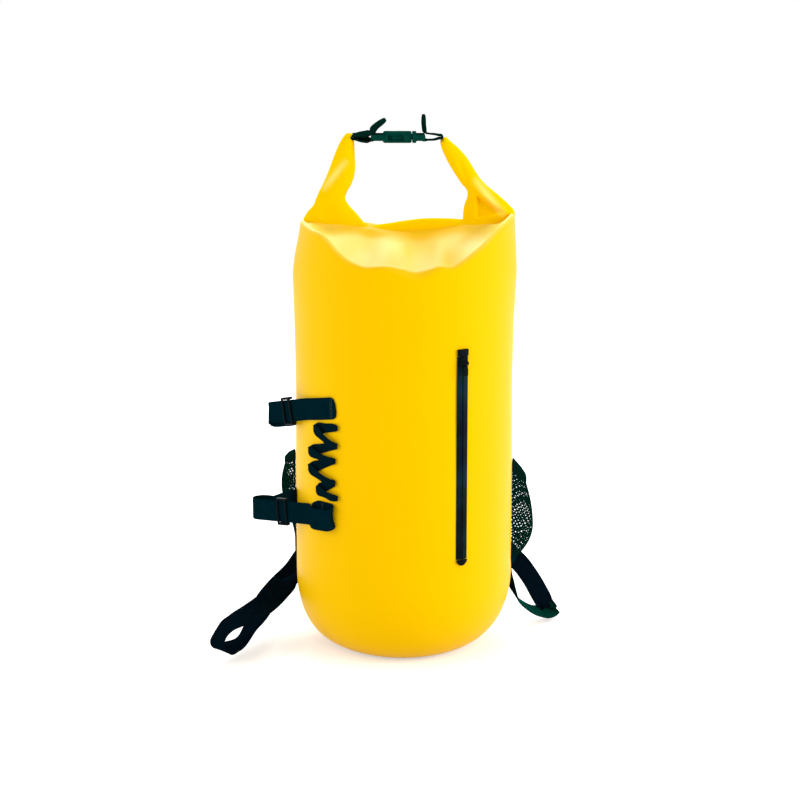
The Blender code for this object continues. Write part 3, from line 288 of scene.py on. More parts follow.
def webbing_finish(name, colour, light, rib=0.00175, pick=0.0021, lit_back=None):
    """Flat webbing: lengthwise ribs, with picks that step half a pitch from one rib to the next. Raised
    threads take the lighter colour, partly their own tone and partly a painted glint. Where the mesh's
    back attribute is 1, another colour is painted: a painted lit side beside the shaded face."""
    material, tree, shader, place, uv = new_finish(name)
    lane = maths(tree, 'FLOOR', maths(tree, 'DIVIDE', uv[1], rib))
    stagger = maths(tree, 'MULTIPLY', lane, math.pi)
    picks = maths(tree, 'SINE', maths(tree, 'MULTIPLY_ADD', uv[0], 2 * math.pi / pick, stagger))
    ribs = maths(tree, 'ABSOLUTE', ripple(tree, uv[1], 2 * rib))
    height = maths(tree, 'MULTIPLY_ADD', picks, 0.5, ribs)
    raised = spread(tree, height, 0.0, 1.0, -0.5, 1.5)
    share = maths(tree, 'MULTIPLY', raised, noise(tree, place, 160.0, 3.0))
    rough = spread(tree, noise(tree, place, 40.0), 0.5, 0.72)
    # Raised threads take the lighter colour: partly their own tone, partly a painted glint.
    face = mixed(tree, share, colour, light)
    # The back of the strap gets a painted lit colour.
    if lit_back:
        back = node(tree, "Attribute", {"attribute_name": "back"}).outputs["Fac"]
        face = mixed(tree, back, face, mixed(tree, share, colour, lit_back))
    connect(tree, shader, face, rough, height, 0.00025, 0.7)
    shader.inputs["Specular IOR Level"].default_value = 0.0
    return material


def moulded_finish(name, colour, light, mirror):
    """Moulded plastic: fine spark-eroded grain, a slightly uneven gloss, and soft blotches of a lighter
    colour, which on the buckle are painted highlights.
    """
    material, tree, shader, place, _ = new_finish(name)
    grain = noise(tree, place, 900.0, 2.0)
    gloss = spread(tree, noise(tree, place, 90.0, 3.0), 0.26, 0.42)
    colour = mixed(tree, noise(tree, place, 130.0, 2.0), colour, light)
    connect(tree, shader, colour, gloss, grain, 0.00006, 0.4)
    shader.inputs["Specular IOR Level"].default_value = mirror
    return material


def zip_finish():
    """Coated zip tape: satin, with soft patches of a paler blue that are a painted reflection, and faint
    ribs of the cloth under the coat.
    """
    material, tree, shader, place, uv = new_finish("coated_zip_tape")
    reflection_share = spread(tree, noise(tree, place, 30.0, 2.0), 0.0, 1.0, 0.35, 0.75)
    height = maths(tree, 'MULTIPLY_ADD', ripple(tree, uv[0], 0.0008), 0.4, noise(tree, place, 300.0))
    gloss = spread(tree, noise(tree, place, 55.0), 0.28, 0.42)
    connect(tree, shader, mixed(tree, reflection_share, PLASTIC_BLACK, TAPE_REFLECTION_BLUE), gloss, height, 0.00006, 0.5)
    shader.inputs["Specular IOR Level"].default_value = 0.04
    return material


def mesh_finish():
    """Knitted mesh yarn: dull, with a fine twist."""
    material, tree, shader, place, _ = new_finish("pocket_mesh")
    twist = noise(tree, place, 700.0, 3.0)
    connect(tree, shader, mixed(tree, twist, MESH_GREEN, GREEN_BLACK), spread(tree, twist, 0.55, 0.8),
            twist, 0.0002, 0.8)
    shader.inputs["Specular IOR Level"].default_value = 0.0
    return material


def padding_finish():
    """Spacer cloth over foam: a close knit of small rows."""
    material, tree, shader, place, uv = new_finish("pad_cloth")
    rows = ripple(tree, uv[0], 0.0026)
    courses = ripple(tree, uv[1], 0.0019)
    knit = maths(tree, 'MULTIPLY', rows, courses)
    share = spread(tree, knit, 0.0, 1.0, -1.0, 1.0)
    rough = spread(tree, noise(tree, place, 60.0), 0.7, 0.9)
    connect(tree, shader, mixed(tree, share, PAD_BLACK, TEAL_BLACK), rough, knit, 0.0003, 0.6)
    shader.inputs["Specular IOR Level"].default_value = 0.0
    return material


tarpaulin = tarpaulin_finish("yellow_tarpaulin", mirror=0.08, deep=DEEP_YELLOW, bright=YELLOW)
# The dull coat of the roll and the arms is painted a lighter yellow, as painted light on the top of the
# bag.
dull_tarpaulin = tarpaulin_finish("dull_top_lit_tarpaulin", mirror=0.0, deep=YELLOW, bright=PAINTED_TOP_LIGHT_YELLOW)
webbing = webbing_finish("teal_black_webbing", TEAL_BLACK, TEAL_RIB_GLINT)
dark_webbing = webbing_finish("blue_black_webbing", BLUE_BLACK, BLUE_RIB_GLINT)
green_webbing = webbing_finish("green_black_webbing", GREEN_BLACK, GREEN_RIB_GLINT)
# This webbing has a painted lit green on its back.
webbing_with_lit_back = webbing_finish("webbing_with_lit_back", BLUE_BLACK, BLUE_RIB_GLINT, lit_back=LIT_BACK_GREEN)
green_elastic = webbing_finish("pocket_elastic", GREEN_BLACK, BAND_GREEN, ELASTIC_RIB, ELASTIC_PICK)
elastic = webbing_finish("elastic_ribbon", TEAL_BLACK, RIBBON_TEAL, ELASTIC_RIB, ELASTIC_PICK)
# The buckle's lighter green blotches are painted highlights.
buckle_plastic = moulded_finish("green_black_plastic", PLASTIC_GREEN, BUCKLE_HIGHLIGHT_GREEN, mirror=0.0)
black_plastic = moulded_finish("black_plastic", PLASTIC_BLACK, PLASTIC_GREY, mirror=0.03)
zip_coat = zip_finish()
mesh_yarn = mesh_finish()
pad_cloth = padding_finish()
print("finishes", len(bpy.data.materials))

# %% [markdown]
# ## Surfaces from grids
# Every piece below is a grid of points: rows along the piece and columns across or round it. One
# function turns grids into a mesh and lays the UV map in metres. The faces are listed as whole arrays,
# so a grid of thirty thousand points costs no more lines than one of ten.


# %% Grid helpers
def grid(points, uv=None, closed=True, capped=(0, -1), ring=False, period=0.0):
    """Vertices, faces and corner UVs of a grid of points.

    A face joins two rows and two columns. Closed joins the last column to the first, ring joins the last
    row to the first, and capped names the rows that one face closes. Across the closing column the first
    UV grows by a period, so that a pattern runs on.
    """
    rows, columns = points.shape[:2]
    index = np.arange(rows * columns).reshape(rows, columns)
    if uv is None:
        uv = surface_lengths(points)
    corner = np.stack([index, np.roll(index, -1, 1), np.roll(np.roll(index, -1, 1), -1, 0),
                       np.roll(index, -1, 0)], axis=2)
    corner = corner[:rows if ring else rows - 1, :columns if closed else columns - 1]
    corner_uv = uv.reshape(-1, 2)[corner]
    if closed:
        corner_uv[:, -1, 1:3, 0] += period
    faces = corner.reshape(-1, 4).tolist()
    flat_uv = [corner_uv.reshape(-1, 2)]
    for row in () if ring else capped:
        faces.append(index[row].tolist())
        flat_uv.append(uv.reshape(-1, 2)[index[row]])
    return points.reshape(-1, 3), faces, np.concatenate(flat_uv)


def surface_lengths(points):
    """UVs in metres: mean distance walked along the rows, and along the columns."""
    down = np.linalg.norm(np.diff(points, axis=0), axis=2).mean(axis=1)
    across = np.linalg.norm(np.diff(points, axis=1), axis=2).mean(axis=0)
    u, v = np.concatenate([[0], np.cumsum(down)]), np.concatenate([[0], np.cumsum(across)])
    return np.stack(np.meshgrid(u, v, indexing='ij'), axis=2)


def mesh_of(name, *grids, sharp=50, outward=True):
    """One mesh from several grids, smooth but for edges that turn more than the sharp angle."""
    counts = np.cumsum([0] + [len(vertices) for vertices, _, _ in grids])
    faces = [[int(start) + corner for corner in face]
             for start, (_, listed, _) in zip(counts, grids) for face in listed]
    mesh = bpy.data.meshes.new(name)
    mesh.from_pydata(np.concatenate([vertices for vertices, _, _ in grids]).tolist(), [], faces)
    layer = mesh.uv_layers.new(name="metres")
    layer.data.foreach_set("uv", np.concatenate([uv for _, _, uv in grids]).astype(np.float32).ravel())
    if outward:
        shape = bmesh.new()
        shape.from_mesh(mesh)
        bmesh.ops.remove_doubles(shape, verts=shape.verts, dist=1e-6)
        bmesh.ops.recalc_face_normals(shape, faces=shape.faces)
        shape.to_mesh(mesh)
        shape.free()
    mesh.shade_smooth()
    mesh.set_sharp_from_angle(angle=math.radians(sharp))
    return mesh


def write_attribute(mesh, name, values):
    """Write one number for each point of a mesh, for a finish to read."""
    layer = mesh.attributes.new(name, 'FLOAT', 'POINT')
    layer.data.foreach_set("value", np.asarray(values, dtype=np.float32))


def add_piece(name, mesh, finish, body, slot, *nodes):
    """Put a finished mesh into the scene on its body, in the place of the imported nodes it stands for."""
    mesh.materials.clear()
    mesh.materials.append(finish)
    piece = bpy.data.objects.new(name, mesh)
    scene.collection.objects.link(piece)
    if body:
        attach(piece, body)
    if nodes:
        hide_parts(*nodes)
    return piece


def smoothstep(value):
    """0 below 0, 1 above 1, and a soft S between."""
    share = np.clip(value, 0, 1)
    return share * share * (3 - 2 * share)


def hump(value, width):
    """Bell curve of height 1 about 0."""
    return np.exp(-(value / width) ** 2)


def full_turn(count):
    """Angles of one full turn at equal steps, without the last, which would be the first again."""
    return np.linspace(0, 2 * math.pi, count, endpoint=False)


def through(points, steps):
    """Smooth curve through points: each stretch is a cubic whose end slopes weigh both neighbours."""
    points = np.asarray(points, float)
    chords = np.diff(points, axis=0)
    lengths = np.linalg.norm(chords, axis=1)[:, None]
    slopes = chords / lengths
    inner = (slopes[:-1] * lengths[1:] + slopes[1:] * lengths[:-1]) / (lengths[:-1] + lengths[1:])
    slopes = np.vstack([slopes[:1], inner, slopes[-1:]])
    t = (np.arange(steps) / steps)[None, :, None]
    curve = (points[:-1, None] * (1 + 2 * t) * (1 - t) ** 2 + points[1:, None] * t ** 2 * (3 - 2 * t)
             + lengths[:, None] * (slopes[:-1, None] * t * (1 - t) ** 2
                                   - slopes[1:, None] * t ** 2 * (1 - t)))
    return np.vstack([curve.reshape(-1, points.shape[1]), points[-1:]])


def column(table, place, steps=12):
    """Values of a table of rows, read smoothly at places in its first column."""
    curve = through(table, steps)
    return [np.interp(place, curve[:, 0], curve[:, number]) for number in range(1, curve.shape[1])]


print("grid helpers ready")

# %% [markdown]
# ## The wall of the bag
# The tube is not a perfect cylinder: it is a little fuller under the lid, most of all on the right,
# drawn in at its waist, and near the top both flanks lean in to the ends of the roll. One formula gives
# the distance of the wall from the axis, and everything sewn to the wall asks that formula too, so that
# nothing floats off it.

# %% Wall formula
WALL_RADIUS = 0.124
SHOULDER_START, SHOULDER_SPAN, SHOULDER_SWELL = 0.365, 0.075, 0.0026
EDGE_WIDTH = 17.0
WAIST_HEIGHT, WAIST_SPAN, WAIST_DRAW = 0.300, 0.055, 0.0009
LEAN_START, LEAN_SPAN, LEAN_WIDTH, LEAN_LEFT, LEAN_RIGHT = 0.425, 0.075, 34.0, 0.0102, 0.0030
SEAT_GAP = 0.0004
UP = np.array([0, 0, 1.0])
SIDES = (("left", -1), ("right", 1))


def wall_radius(azimuth, height):
    """Distance of the wall from the axis: radius, plus a swell that grows up to the lid and is strongest
    at the right edge, less a shallow waist, less the lean of both edges in to the roll."""
    edge = hump(azimuth - 90, EDGE_WIDTH)
    swell = SHOULDER_SWELL * smoothstep((height - SHOULDER_START) / SHOULDER_SPAN) * (0.4 + 0.6 * edge)
    sides = LEAN_LEFT * hump(azimuth + 90, LEAN_WIDTH) + LEAN_RIGHT * hump(azimuth - 90, LEAN_WIDTH)
    lean = sides * smoothstep((height - LEAN_START) / LEAN_SPAN)
    return WALL_RADIUS + swell - lean - WAIST_DRAW * hump(height - WAIST_HEIGHT, WAIST_SPAN)


def outwards(azimuth):
    """Unit vectors away from the axis, for azimuths in degrees counted from the front towards +X."""
    angle = np.radians(np.asarray(azimuth, float))
    return np.stack([np.sin(angle), -np.cos(angle), np.zeros_like(angle)], axis=-1)


def around(azimuth):
    """Unit vectors along the wall, towards a larger azimuth."""
    angle = np.radians(np.asarray(azimuth, float))
    return np.stack([np.cos(angle), np.sin(angle), np.zeros_like(angle)], axis=-1)


def at(azimuth, radius, height):
    """Points at an azimuth, a distance from the axis and a height."""
    azimuth, radius, height = np.broadcast_arrays(np.asarray(azimuth, float), radius, height)
    return outwards(azimuth) * radius[..., None] + UP * height[..., None]


def on_wall(azimuth, lift, height):
    """Points that stand off the wall by a lift."""
    return at(azimuth, wall_radius(np.asarray(azimuth, float), height) + lift, height)


print("wall", [round(float(wall_radius(90.0, z)) * 1000, 1) for z in (0.1, 0.3, 0.44)], "mm")

# %% [markdown]
# ## Bag skin
# Air in the closed bag keeps its wall taut, and the lid falls in soft pleats from the roll to a crease
# that dips at the front and climbs to both ends of the roll. A cloth simulation could find such a form,
# but the crease has to lie where the photograph has it, so the skin is a loft: for each azimuth one
# upright line that rounds the base, climbs the wall, turns over the crease and runs in to the mouth.
# There the front and the back meet in one line, and points that coincide are merged into a closed seam.

# %% Bag skin
SKIN_COLUMNS = 288
FOOT_ROWS, WALL_ROWS, FOLD_ROWS, LID_ROWS, NECK_ROWS = 26, 59, 11, 43, 4
FOLD_TURN = 82.0
BASE_FOOT, BASE_RISE = 0.0606, 0.085
BASE_POWER, BASE_LEAN, BASE_FRONT, BASE_FRONT_WIDTH = 2.2, 0.12, 0.007, 45.0
MOUTH_REACH, NECK_DEPTH = 0.110, 0.0106
NECK_MIDDLE, NECK_RISE_LEFT, NECK_RISE_RIGHT = 0.4735, 0.0120, 0.0105
NECK_LENGTH, LID_TURN = 0.004, 0.0040
BEND_TIGHT, BEND_LOOSE, BEND_WIDTH, BEND_MIDDLE = 0.0050, 0.0075, 9.0, 5.0
PLEAT_HEIGHT, PLEAT_COUNT, PLEAT_PHASE, PLEAT_LIMIT = 0.0028, 12, 35.0, 78.0
# Share of painted highlight on the lid: in its middle, and at both ends, where the arms shade it.
LID_HIGHLIGHT_MIDDLE, LID_HIGHLIGHT_ENDS = 0.10, 0.70
CREASE = [(-180, 0.451), (-150, 0.4555), (-120, 0.473), (-90, 0.488), (-60, 0.4855), (-44.5, 0.4795),
          (-36, 0.4657), (-29.5, 0.457), (-22, 0.4516), (-9, 0.4526), (0, 0.4492), (6, 0.4462),
          (12, 0.4482), (18, 0.4520), (25, 0.4507), (31.6, 0.4568), (39, 0.4663), (46.5, 0.4747),
          (55, 0.485), (70, 0.4935), (90, 0.496), (120, 0.478), (150, 0.4565), (180, 0.451)]


def neck_foot(x):
    """Height where the lid turns up into the neck: it climbs by a squared sine to both ends."""
    climb = np.sin(np.pi / 2 * np.asarray(x) / MOUTH_REACH) ** 2
    return NECK_MIDDLE + np.where(np.asarray(x) < 0, NECK_RISE_LEFT, NECK_RISE_RIGHT) * climb


def bag_grid():
    """Rows from the foot to the neck, columns round the bag."""
    azimuth = np.linspace(-180, 180, SKIN_COLUMNS, endpoint=False)
    crease, = column(CREASE, azimuth)
    bend = BEND_TIGHT + BEND_LOOSE * hump(azimuth - BEND_MIDDLE, BEND_WIDTH)
    turn = np.radians(np.linspace(0, 90, FOOT_ROWS))[:, None]
    full = wall_radius(azimuth, BASE_RISE)
    power = 2 / (BASE_POWER - BASE_LEAN * np.sin(np.radians(azimuth)))
    inner = BASE_FOOT + BASE_FRONT * hump(azimuth, BASE_FRONT_WIDTH)
    foot = at(azimuth, inner + (full - inner) * np.sin(turn) ** power,
              BASE_RISE * (1 - np.abs(np.cos(turn)) ** power))
    share = np.linspace(0, 1, WALL_ROWS + 1)[1:, None]
    height = BASE_RISE + (crease - bend - BASE_RISE) * share
    wall = on_wall(azimuth, 0.0, height)
    turn = np.radians(np.linspace(0, FOLD_TURN, FOLD_ROWS + 1)[1:])[:, None]
    top = crease - bend
    fold = at(azimuth, wall_radius(azimuth, top) - bend * (1 - np.cos(turn)), top + bend * np.sin(turn))
    angle = np.radians(azimuth)
    across = MOUTH_REACH * np.sin(angle)
    mouth = np.stack([across, -NECK_DEPTH * np.cos(angle), neck_foot(across)], axis=-1)
    share = np.linspace(0, 1, LID_ROWS + 1)[1:, None]
    lid = fold[-1] * (1 - share[..., None]) + mouth * share[..., None]
    front = smoothstep((PLEAT_LIMIT - np.minimum(np.abs(azimuth), 180 - np.abs(azimuth))) / 30)
    pleats = PLEAT_HEIGHT * front * np.cos(np.radians(PLEAT_COUNT * (azimuth + PLEAT_PHASE)))
    turn_up = LID_TURN * smoothstep((share - 0.75) / 0.25) ** 2
    lid[..., 2] += pleats * np.sin(np.pi * share) ** 1.3 + turn_up
    share = np.linspace(0, 1, NECK_ROWS + 1)[1:, None, None]
    neck = lid[-1] * (1 - share * (0, 1, 0)) + share * (0, 0, NECK_LENGTH)
    return np.concatenate([foot, wall, fold, lid, neck])


def paint_lid_highlight(mesh):
    """Write the crease attribute on the front of the lid, a painted highlight that stands in for the lid's
    sheen: it rises over the fold, is most at both ends of the lid, where the arms shade it, and falls
    towards the neck. The points come row by row, and the last row is merged."""
    down = np.concatenate([np.zeros(FOOT_ROWS + WALL_ROWS), np.linspace(0, 1, FOLD_ROWS),
                           np.linspace(1, 0.5, LID_ROWS), np.zeros(NECK_ROWS - 1)])
    turn = np.abs(np.linspace(-180, 180, SKIN_COLUMNS, endpoint=False))
    round_it = (LID_HIGHLIGHT_MIDDLE + LID_HIGHLIGHT_ENDS * smoothstep((turn - 20) / 30)) * smoothstep((112 - turn) / 20)
    share = np.zeros(len(mesh.vertices))
    share[:len(down) * SKIN_COLUMNS] = (down[:, None] * round_it).ravel()
    write_attribute(mesh, "crease", share)


skin = bag_grid()
lengths = surface_lengths(skin)
girth = 2 * math.pi * WALL_RADIUS
lengths[..., 1] = lengths[..., 0].copy()
lengths[..., 0] = np.linspace(0, 1, SKIN_COLUMNS, endpoint=False) * 2 * math.pi * WALL_RADIUS
bag_mesh = mesh_of("bag_skin", grid(skin, lengths, capped=(0,), period=girth))
# A painted highlight over the lid.
paint_lid_highlight(bag_mesh)
add_piece("bag_skin", bag_mesh, tarpaulin, "root", "tarpaulin", "bag_shell")
print("bag skin", len(bag_mesh.vertices), "points")

# %% [markdown]
# ## Base disc
# The bottom is a disc of the same sheet, welded to the wall. A flat cylinder could stand for it, but
# its rim is a raised weld bead, so it is a turned shape: one short outline spun round the axis.

# %% Base disc
BASE_OUTLINE = [(0.0004, 0.0003), (0.030, 0.0003), (0.0555, 0.0002), (0.0580, 0.0), (0.0594, 0.0005),
                (0.0600, 0.0014), (0.0592, 0.0023), (0.0560, 0.0025), (0.0004, 0.0025)]


def lathe(outline, sides):
    """A turned shape: each point of an outline, as a radius and a height, becomes a row of points."""
    radius, height = np.array(outline).T
    azimuth = np.linspace(-180, 180, sides, endpoint=False)
    return at(azimuth[None, :], radius[:, None], height[:, None])


base_mesh = mesh_of("base_disc", grid(lathe(through(BASE_OUTLINE, 4), 96)))
add_piece("base_disc", base_mesh, tarpaulin, "root", "tarpaulin", "base_panel")
print("base disc", len(base_mesh.vertices), "points")

# %% [markdown]
# ## Rolled mouth
# Between the arms the mouth is folded over and over into a flat roll. Sheet could be wound up layer by
# layer, but only the outermost layer shows, so one skin is enough. Its section is a rounded box whose
# size grows by one sheet in a full turn, so the outer edge of the sheet shows as a step along the back.
# The top line dips left of the middle and climbs to both arms, as the photograph shows.

# %% Rolled mouth
ROLL_TOP = [(-0.112, 0.486), (-0.098, 0.4945), (-0.085, 0.4985), (-0.066, 0.4985), (-0.052, 0.4905),
            (-0.041, 0.4838), (-0.020, 0.4842), (-0.0046, 0.4868), (0.0177, 0.4898), (0.051, 0.4900),
            (0.0655, 0.4892), (0.085, 0.494), (0.112, 0.495)]
ROLL_HALF_DEPTH, ROLL_SINK = 0.0112, -0.0040
ROLL_LAP, ROLL_LAP_TURN, ROLL_POWER = 0.075, 20.0, 2.3


def rounded(angle, half_width, half_height, power):
    """Point of a rounded box (superellipse) at an angle: powers of cosine and sine flatten the sides."""
    cosine, sine = np.cos(angle), np.sin(angle)
    return (half_width * np.sign(cosine) * np.abs(cosine) ** (2 / power),
            half_height * np.sign(sine) * np.abs(sine) ** (2 / power))


def roll_grid(stations=130, sides=96):
    """Rows along the mouth, columns round the roll, from the lap in the back face and back to it."""
    x = np.linspace(-MOUTH_REACH, MOUTH_REACH, stations)[:, None]
    high, = column(ROLL_TOP, x)
    low = neck_foot(x) + ROLL_SINK
    turn = np.linspace(0, 1, sides, endpoint=False)[None, :]
    angle = np.radians(ROLL_LAP_TURN) + 2 * math.pi * turn
    grow = 1 + ROLL_LAP * (turn - 1)
    deep, tall = rounded(angle, ROLL_HALF_DEPTH * grow, (high - low) / 2 * grow, ROLL_POWER)
    ends = np.sqrt(np.clip((MOUTH_REACH + 0.002 - np.abs(x)) / 0.006, 0.05, 1))
    return np.stack(np.broadcast_arrays(x, deep * ends, (high + low) / 2 + tall), axis=2)


roll_mesh = mesh_of("mouth_roll", grid(roll_grid()), sharp=40)
add_piece("mouth_roll", roll_mesh, dull_tarpaulin, "root", "tarpaulin", "rolled_mouth")
print("roll", len(roll_mesh.vertices), "points")

# %% [markdown]
# ## Roll arms
# Both ends of the roll bend up and lean in to the buckle, and so make the carry handle. A cloth run
# could bend them, but their outline has to follow the photograph, so each arm is a stack of rounded
# slices whose inner and outer edges follow a short table. The right arm has a fold: a deep
# three-cornered pocket under a ridge, pressed into its front. Soft grooves show where the sheet is
# creased, and one pale line on each arm is a painted highlight along a crease. When the buckle opens,
# the right arm has to follow it from its foot; here it is put on no body, and its place is baked into
# its points.

# %% Roll arms
LEFT_ARM = [(0.474, -0.1125, -0.0390), (0.4877, -0.1128, -0.0470), (0.4966, -0.1082, -0.0545),
            (0.5056, -0.1005, -0.0625), (0.5112, -0.0985, -0.0655), (0.518, -0.0955, -0.0640),
            (0.5280, -0.0905, -0.0585), (0.541, -0.0846, -0.0547), (0.559, -0.0778, -0.0546),
            (0.5720, -0.0722, -0.0553), (0.5800, -0.0675, -0.0560), (0.5840, -0.0640, -0.0575)]
RIGHT_ARM = [(0.476, 0.0620, 0.1200), (0.4877, 0.0655, 0.1232), (0.4966, 0.0660, 0.1236),
             (0.5056, 0.0675, 0.1165), (0.5145, 0.0706, 0.1066), (0.5195, 0.0705, 0.1005),
             (0.5300, 0.0628, 0.0885), (0.541, 0.0554, 0.0800), (0.550, 0.0499, 0.0746),
             (0.5600, 0.0448, 0.0676), (0.5690, 0.0412, 0.0590), (0.5766, 0.0404, 0.0500),
             (0.5795, 0.0420, 0.0470)]
ARM_DEPTH = [(0.47, 0.0135), (0.50, 0.0150), (0.53, 0.0150), (0.56, 0.0138), (0.578, 0.0128),
             (0.586, 0.0105)]
ARM_POWER, FRONT_SOFTNESS = 2.4, 0.004
LEFT_GROOVES = [((-0.0965, 0.503), (-0.066, 0.560), 0.0050, 0.0050),
                ((-0.0700, 0.512), (-0.0930, 0.490), 0.0030, 0.0050)]
RIGHT_GROOVES = [((0.072, 0.520), (0.060, 0.560), 0.0022, 0.0040)]
FOLD_LEFT, FOLD_TOP, FOLD_RIGHT = (0.0790, 0.489), (0.0790, 0.519), (0.1120, 0.4965)
FOLD_DEPTH, RIDGE_HEIGHT = 0.0065, 0.0030
# Lines of painted highlight, one on each arm, along a crease.
LEFT_ARM_HIGHLIGHT = (-0.0915, 0.5205), (-0.0625, 0.5565), 0.0032
RIGHT_ARM_HIGHLIGHT = (0.0765, 0.5365), (0.1125, 0.4925), 0.0034


def above_line(first, second, x, z):
    """Signed distance above the line through two points of the front plane."""
    run, rise = second[0] - first[0], second[1] - first[1]
    return ((z - first[1]) * run - (x - first[0]) * rise) / math.hypot(run, rise)


def share_of_line(start, end, x, z):
    """How far along a line of the front plane a point lies: 0 at its start and 1 at its end."""
    run, rise = end[0] - start[0], end[1] - start[1]
    return np.clip(((x - start[0]) * run + (z - start[1]) * rise) / (run * run + rise * rise), 0, 1)


def on_front(y):
    """1 on the front of an arm and 0 behind its middle, with a soft change."""
    return smoothstep(-y / FRONT_SOFTNESS)


def arm_grid(table, stations=110, sides=120):
    """Rows up the arm, columns round it; slices are rounded boxes between the two edges."""
    z = np.linspace(table[0][0], table[-1][0], stations)[:, None]
    one, other = column(table, z)
    deep, = column(ARM_DEPTH, z)
    close = np.sqrt(np.clip((table[-1][0] + 0.0004 - z) / 0.005, 0.02, 1))
    angle = full_turn(sides)[None, :]
    wide, depth = rounded(angle, np.abs(other - one) / 2, deep * close, ARM_POWER)
    return np.stack(np.broadcast_arrays((one + other) / 2 + wide, depth, z), axis=2)


def press_fold(points):
    """Push a three-cornered pocket into the front of the right arm and raise the ridge above it."""
    x, y, z = points[..., 0], points[..., 1], points[..., 2]
    below = -above_line(FOLD_TOP, FOLD_RIGHT, x, z)
    over = above_line(FOLD_LEFT, FOLD_RIGHT, x, z)
    inside = smoothstep((x - FOLD_LEFT[0]) / 0.004) * smoothstep(below / 0.004) * smoothstep(over / 0.006)
    along = (smoothstep((x - FOLD_TOP[0] + 0.004) / 0.012)
             * smoothstep((FOLD_RIGHT[0] + 0.004 - x) / 0.008))
    ridge = RIDGE_HEIGHT * along * hump(below + 0.0035, 0.0035)
    points[..., 1] += on_front(y) * (FOLD_DEPTH * inside - ridge)
    return points


def press_crease(points, start, end, depth, width):
    """Press a soft groove into the front of an arm along a line between two points."""
    x, y, z = points[..., 0], points[..., 1], points[..., 2]
    fade = np.sin(np.pi * share_of_line(start, end, x, z))
    points[..., 1] += on_front(y) * depth * fade * hump(above_line(start, end, x, z), width)
    return points


def mark_painted_highlight(mesh, start, end, width):
    """Write the crease attribute, a painted highlight: 1 on a line of the front, fading over a width and
    to both ends.
    """
    place = np.empty(3 * len(mesh.vertices), dtype=np.float32)
    mesh.vertices.foreach_get("co", place)
    x, y, z = place.reshape(-1, 3).T
    fade = np.abs(np.sin(np.pi * share_of_line(start, end, x, z))) ** 0.6 * on_front(y)
    write_attribute(mesh, "crease", fade * hump(above_line(start, end, x, z), width))
    return mesh


left_arm = arm_grid(LEFT_ARM)
for groove in LEFT_GROOVES:
    left_arm = press_crease(left_arm, *groove)
right_arm = press_fold(arm_grid(RIGHT_ARM))
for groove in RIGHT_GROOVES:
    right_arm = press_crease(right_arm, *groove)
# Each arm gets a painted highlight along one crease.
left_mesh = mark_painted_highlight(mesh_of("left_arm_skin", grid(left_arm)), *LEFT_ARM_HIGHLIGHT)
right_mesh = mark_painted_highlight(mesh_of("right_arm_skin", grid(right_arm)), *RIGHT_ARM_HIGHLIGHT)
add_piece("left_arm_skin", left_mesh, dull_tarpaulin, "root", "tarpaulin", "left_roll_arm")
right_piece = add_piece("right_arm_skin", right_mesh, dull_tarpaulin, None, "tarpaulin",
                        "right_roll_arm")
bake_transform(right_piece)
print("arms", len(left_mesh.vertices), "points each")

# %% [markdown]
# ## Straps
# Webbing is a flat profile with rounded edges, carried along a path. A curve object with a bevel could
# do it, but its twist is hard to steer. Here a strap is told one more thing, the direction of its
# width: on the wall this is simply up, and for a slack strap it is written down beside each point of
# the path.


# %% Strap helpers
def unit(vectors):
    """Vectors scaled to length 1."""
    return vectors / np.linalg.norm(vectors, axis=-1, keepdims=True)


def square_to(tangents, directions):
    """Unit vectors nearest to the directions that stand square to the tangents."""
    along = np.sum(directions * tangents, axis=-1, keepdims=True)
    return unit(directions - tangents * along)


def walked_along(path):
    """Distance walked from the start of a path to each of its points."""
    return np.concatenate([[0], np.cumsum(np.linalg.norm(np.diff(path, axis=0), axis=1))])


def evenly(path, step):
    """The same path with points at equal steps; columns after the third are carried along."""
    walked = walked_along(path[:, :3])
    places = np.linspace(0, walked[-1], max(3, int(round(walked[-1] / step)) + 1))
    return np.stack([np.interp(places, walked, numbers) for numbers in path.T], axis=1)


def flat_profile(points_across=9, turn=5):
    """Across and through a strap of width 2 and thickness 2: a flat top, a round edge, a flat back."""
    flat = np.linspace(-1, 1, points_across)
    angle = np.radians(np.linspace(90, -90, turn + 2))[1:-1]
    across = np.concatenate([flat, np.ones(turn), flat[::-1], -np.ones(turn)])
    bulge = np.concatenate([0 * flat, np.cos(angle), 0 * flat, -np.cos(angle)])
    through_it = np.concatenate([np.ones(points_across), np.sin(angle), -np.ones(points_across),
                                 -np.sin(angle)])
    return across, bulge, through_it


def rounded_ends(path, width, radius, start=True, end=True):
    """Widths along a strap whose cut corners are rounded: the width shrinks by a quarter circle."""
    walked = walked_along(path)
    left = np.full_like(walked, radius)
    if start:
        left = np.minimum(left, walked)
    if end:
        left = np.minimum(left, walked[-1] - walked)
    drop = 1 - np.sqrt(np.clip(1 - (1 - left / radius) ** 2, 0, 1))
    return width - 2 * radius * drop


def strap_grid(path, width, thickness, width_direction):
    """A strap: rows along the path, columns round its profile; UVs are metres along and across."""
    tangents = unit(np.gradient(path, axis=0))
    across = square_to(tangents, np.broadcast_to(width_direction, path.shape))
    faces = np.cross(tangents, across)
    half = (np.broadcast_to(width, len(path)) / 2)[:, None]
    side, bulge, through_it = flat_profile()
    edge = side * np.maximum(half - thickness / 2, 0.0002) + bulge * thickness / 2
    points = (path[:, None] + across[:, None] * edge[..., None]
              + faces[:, None] * (through_it * thickness / 2)[None, :, None])
    uv = np.stack(np.broadcast_arrays(walked_along(path)[:, None], edge), axis=2)
    return grid(points, uv)


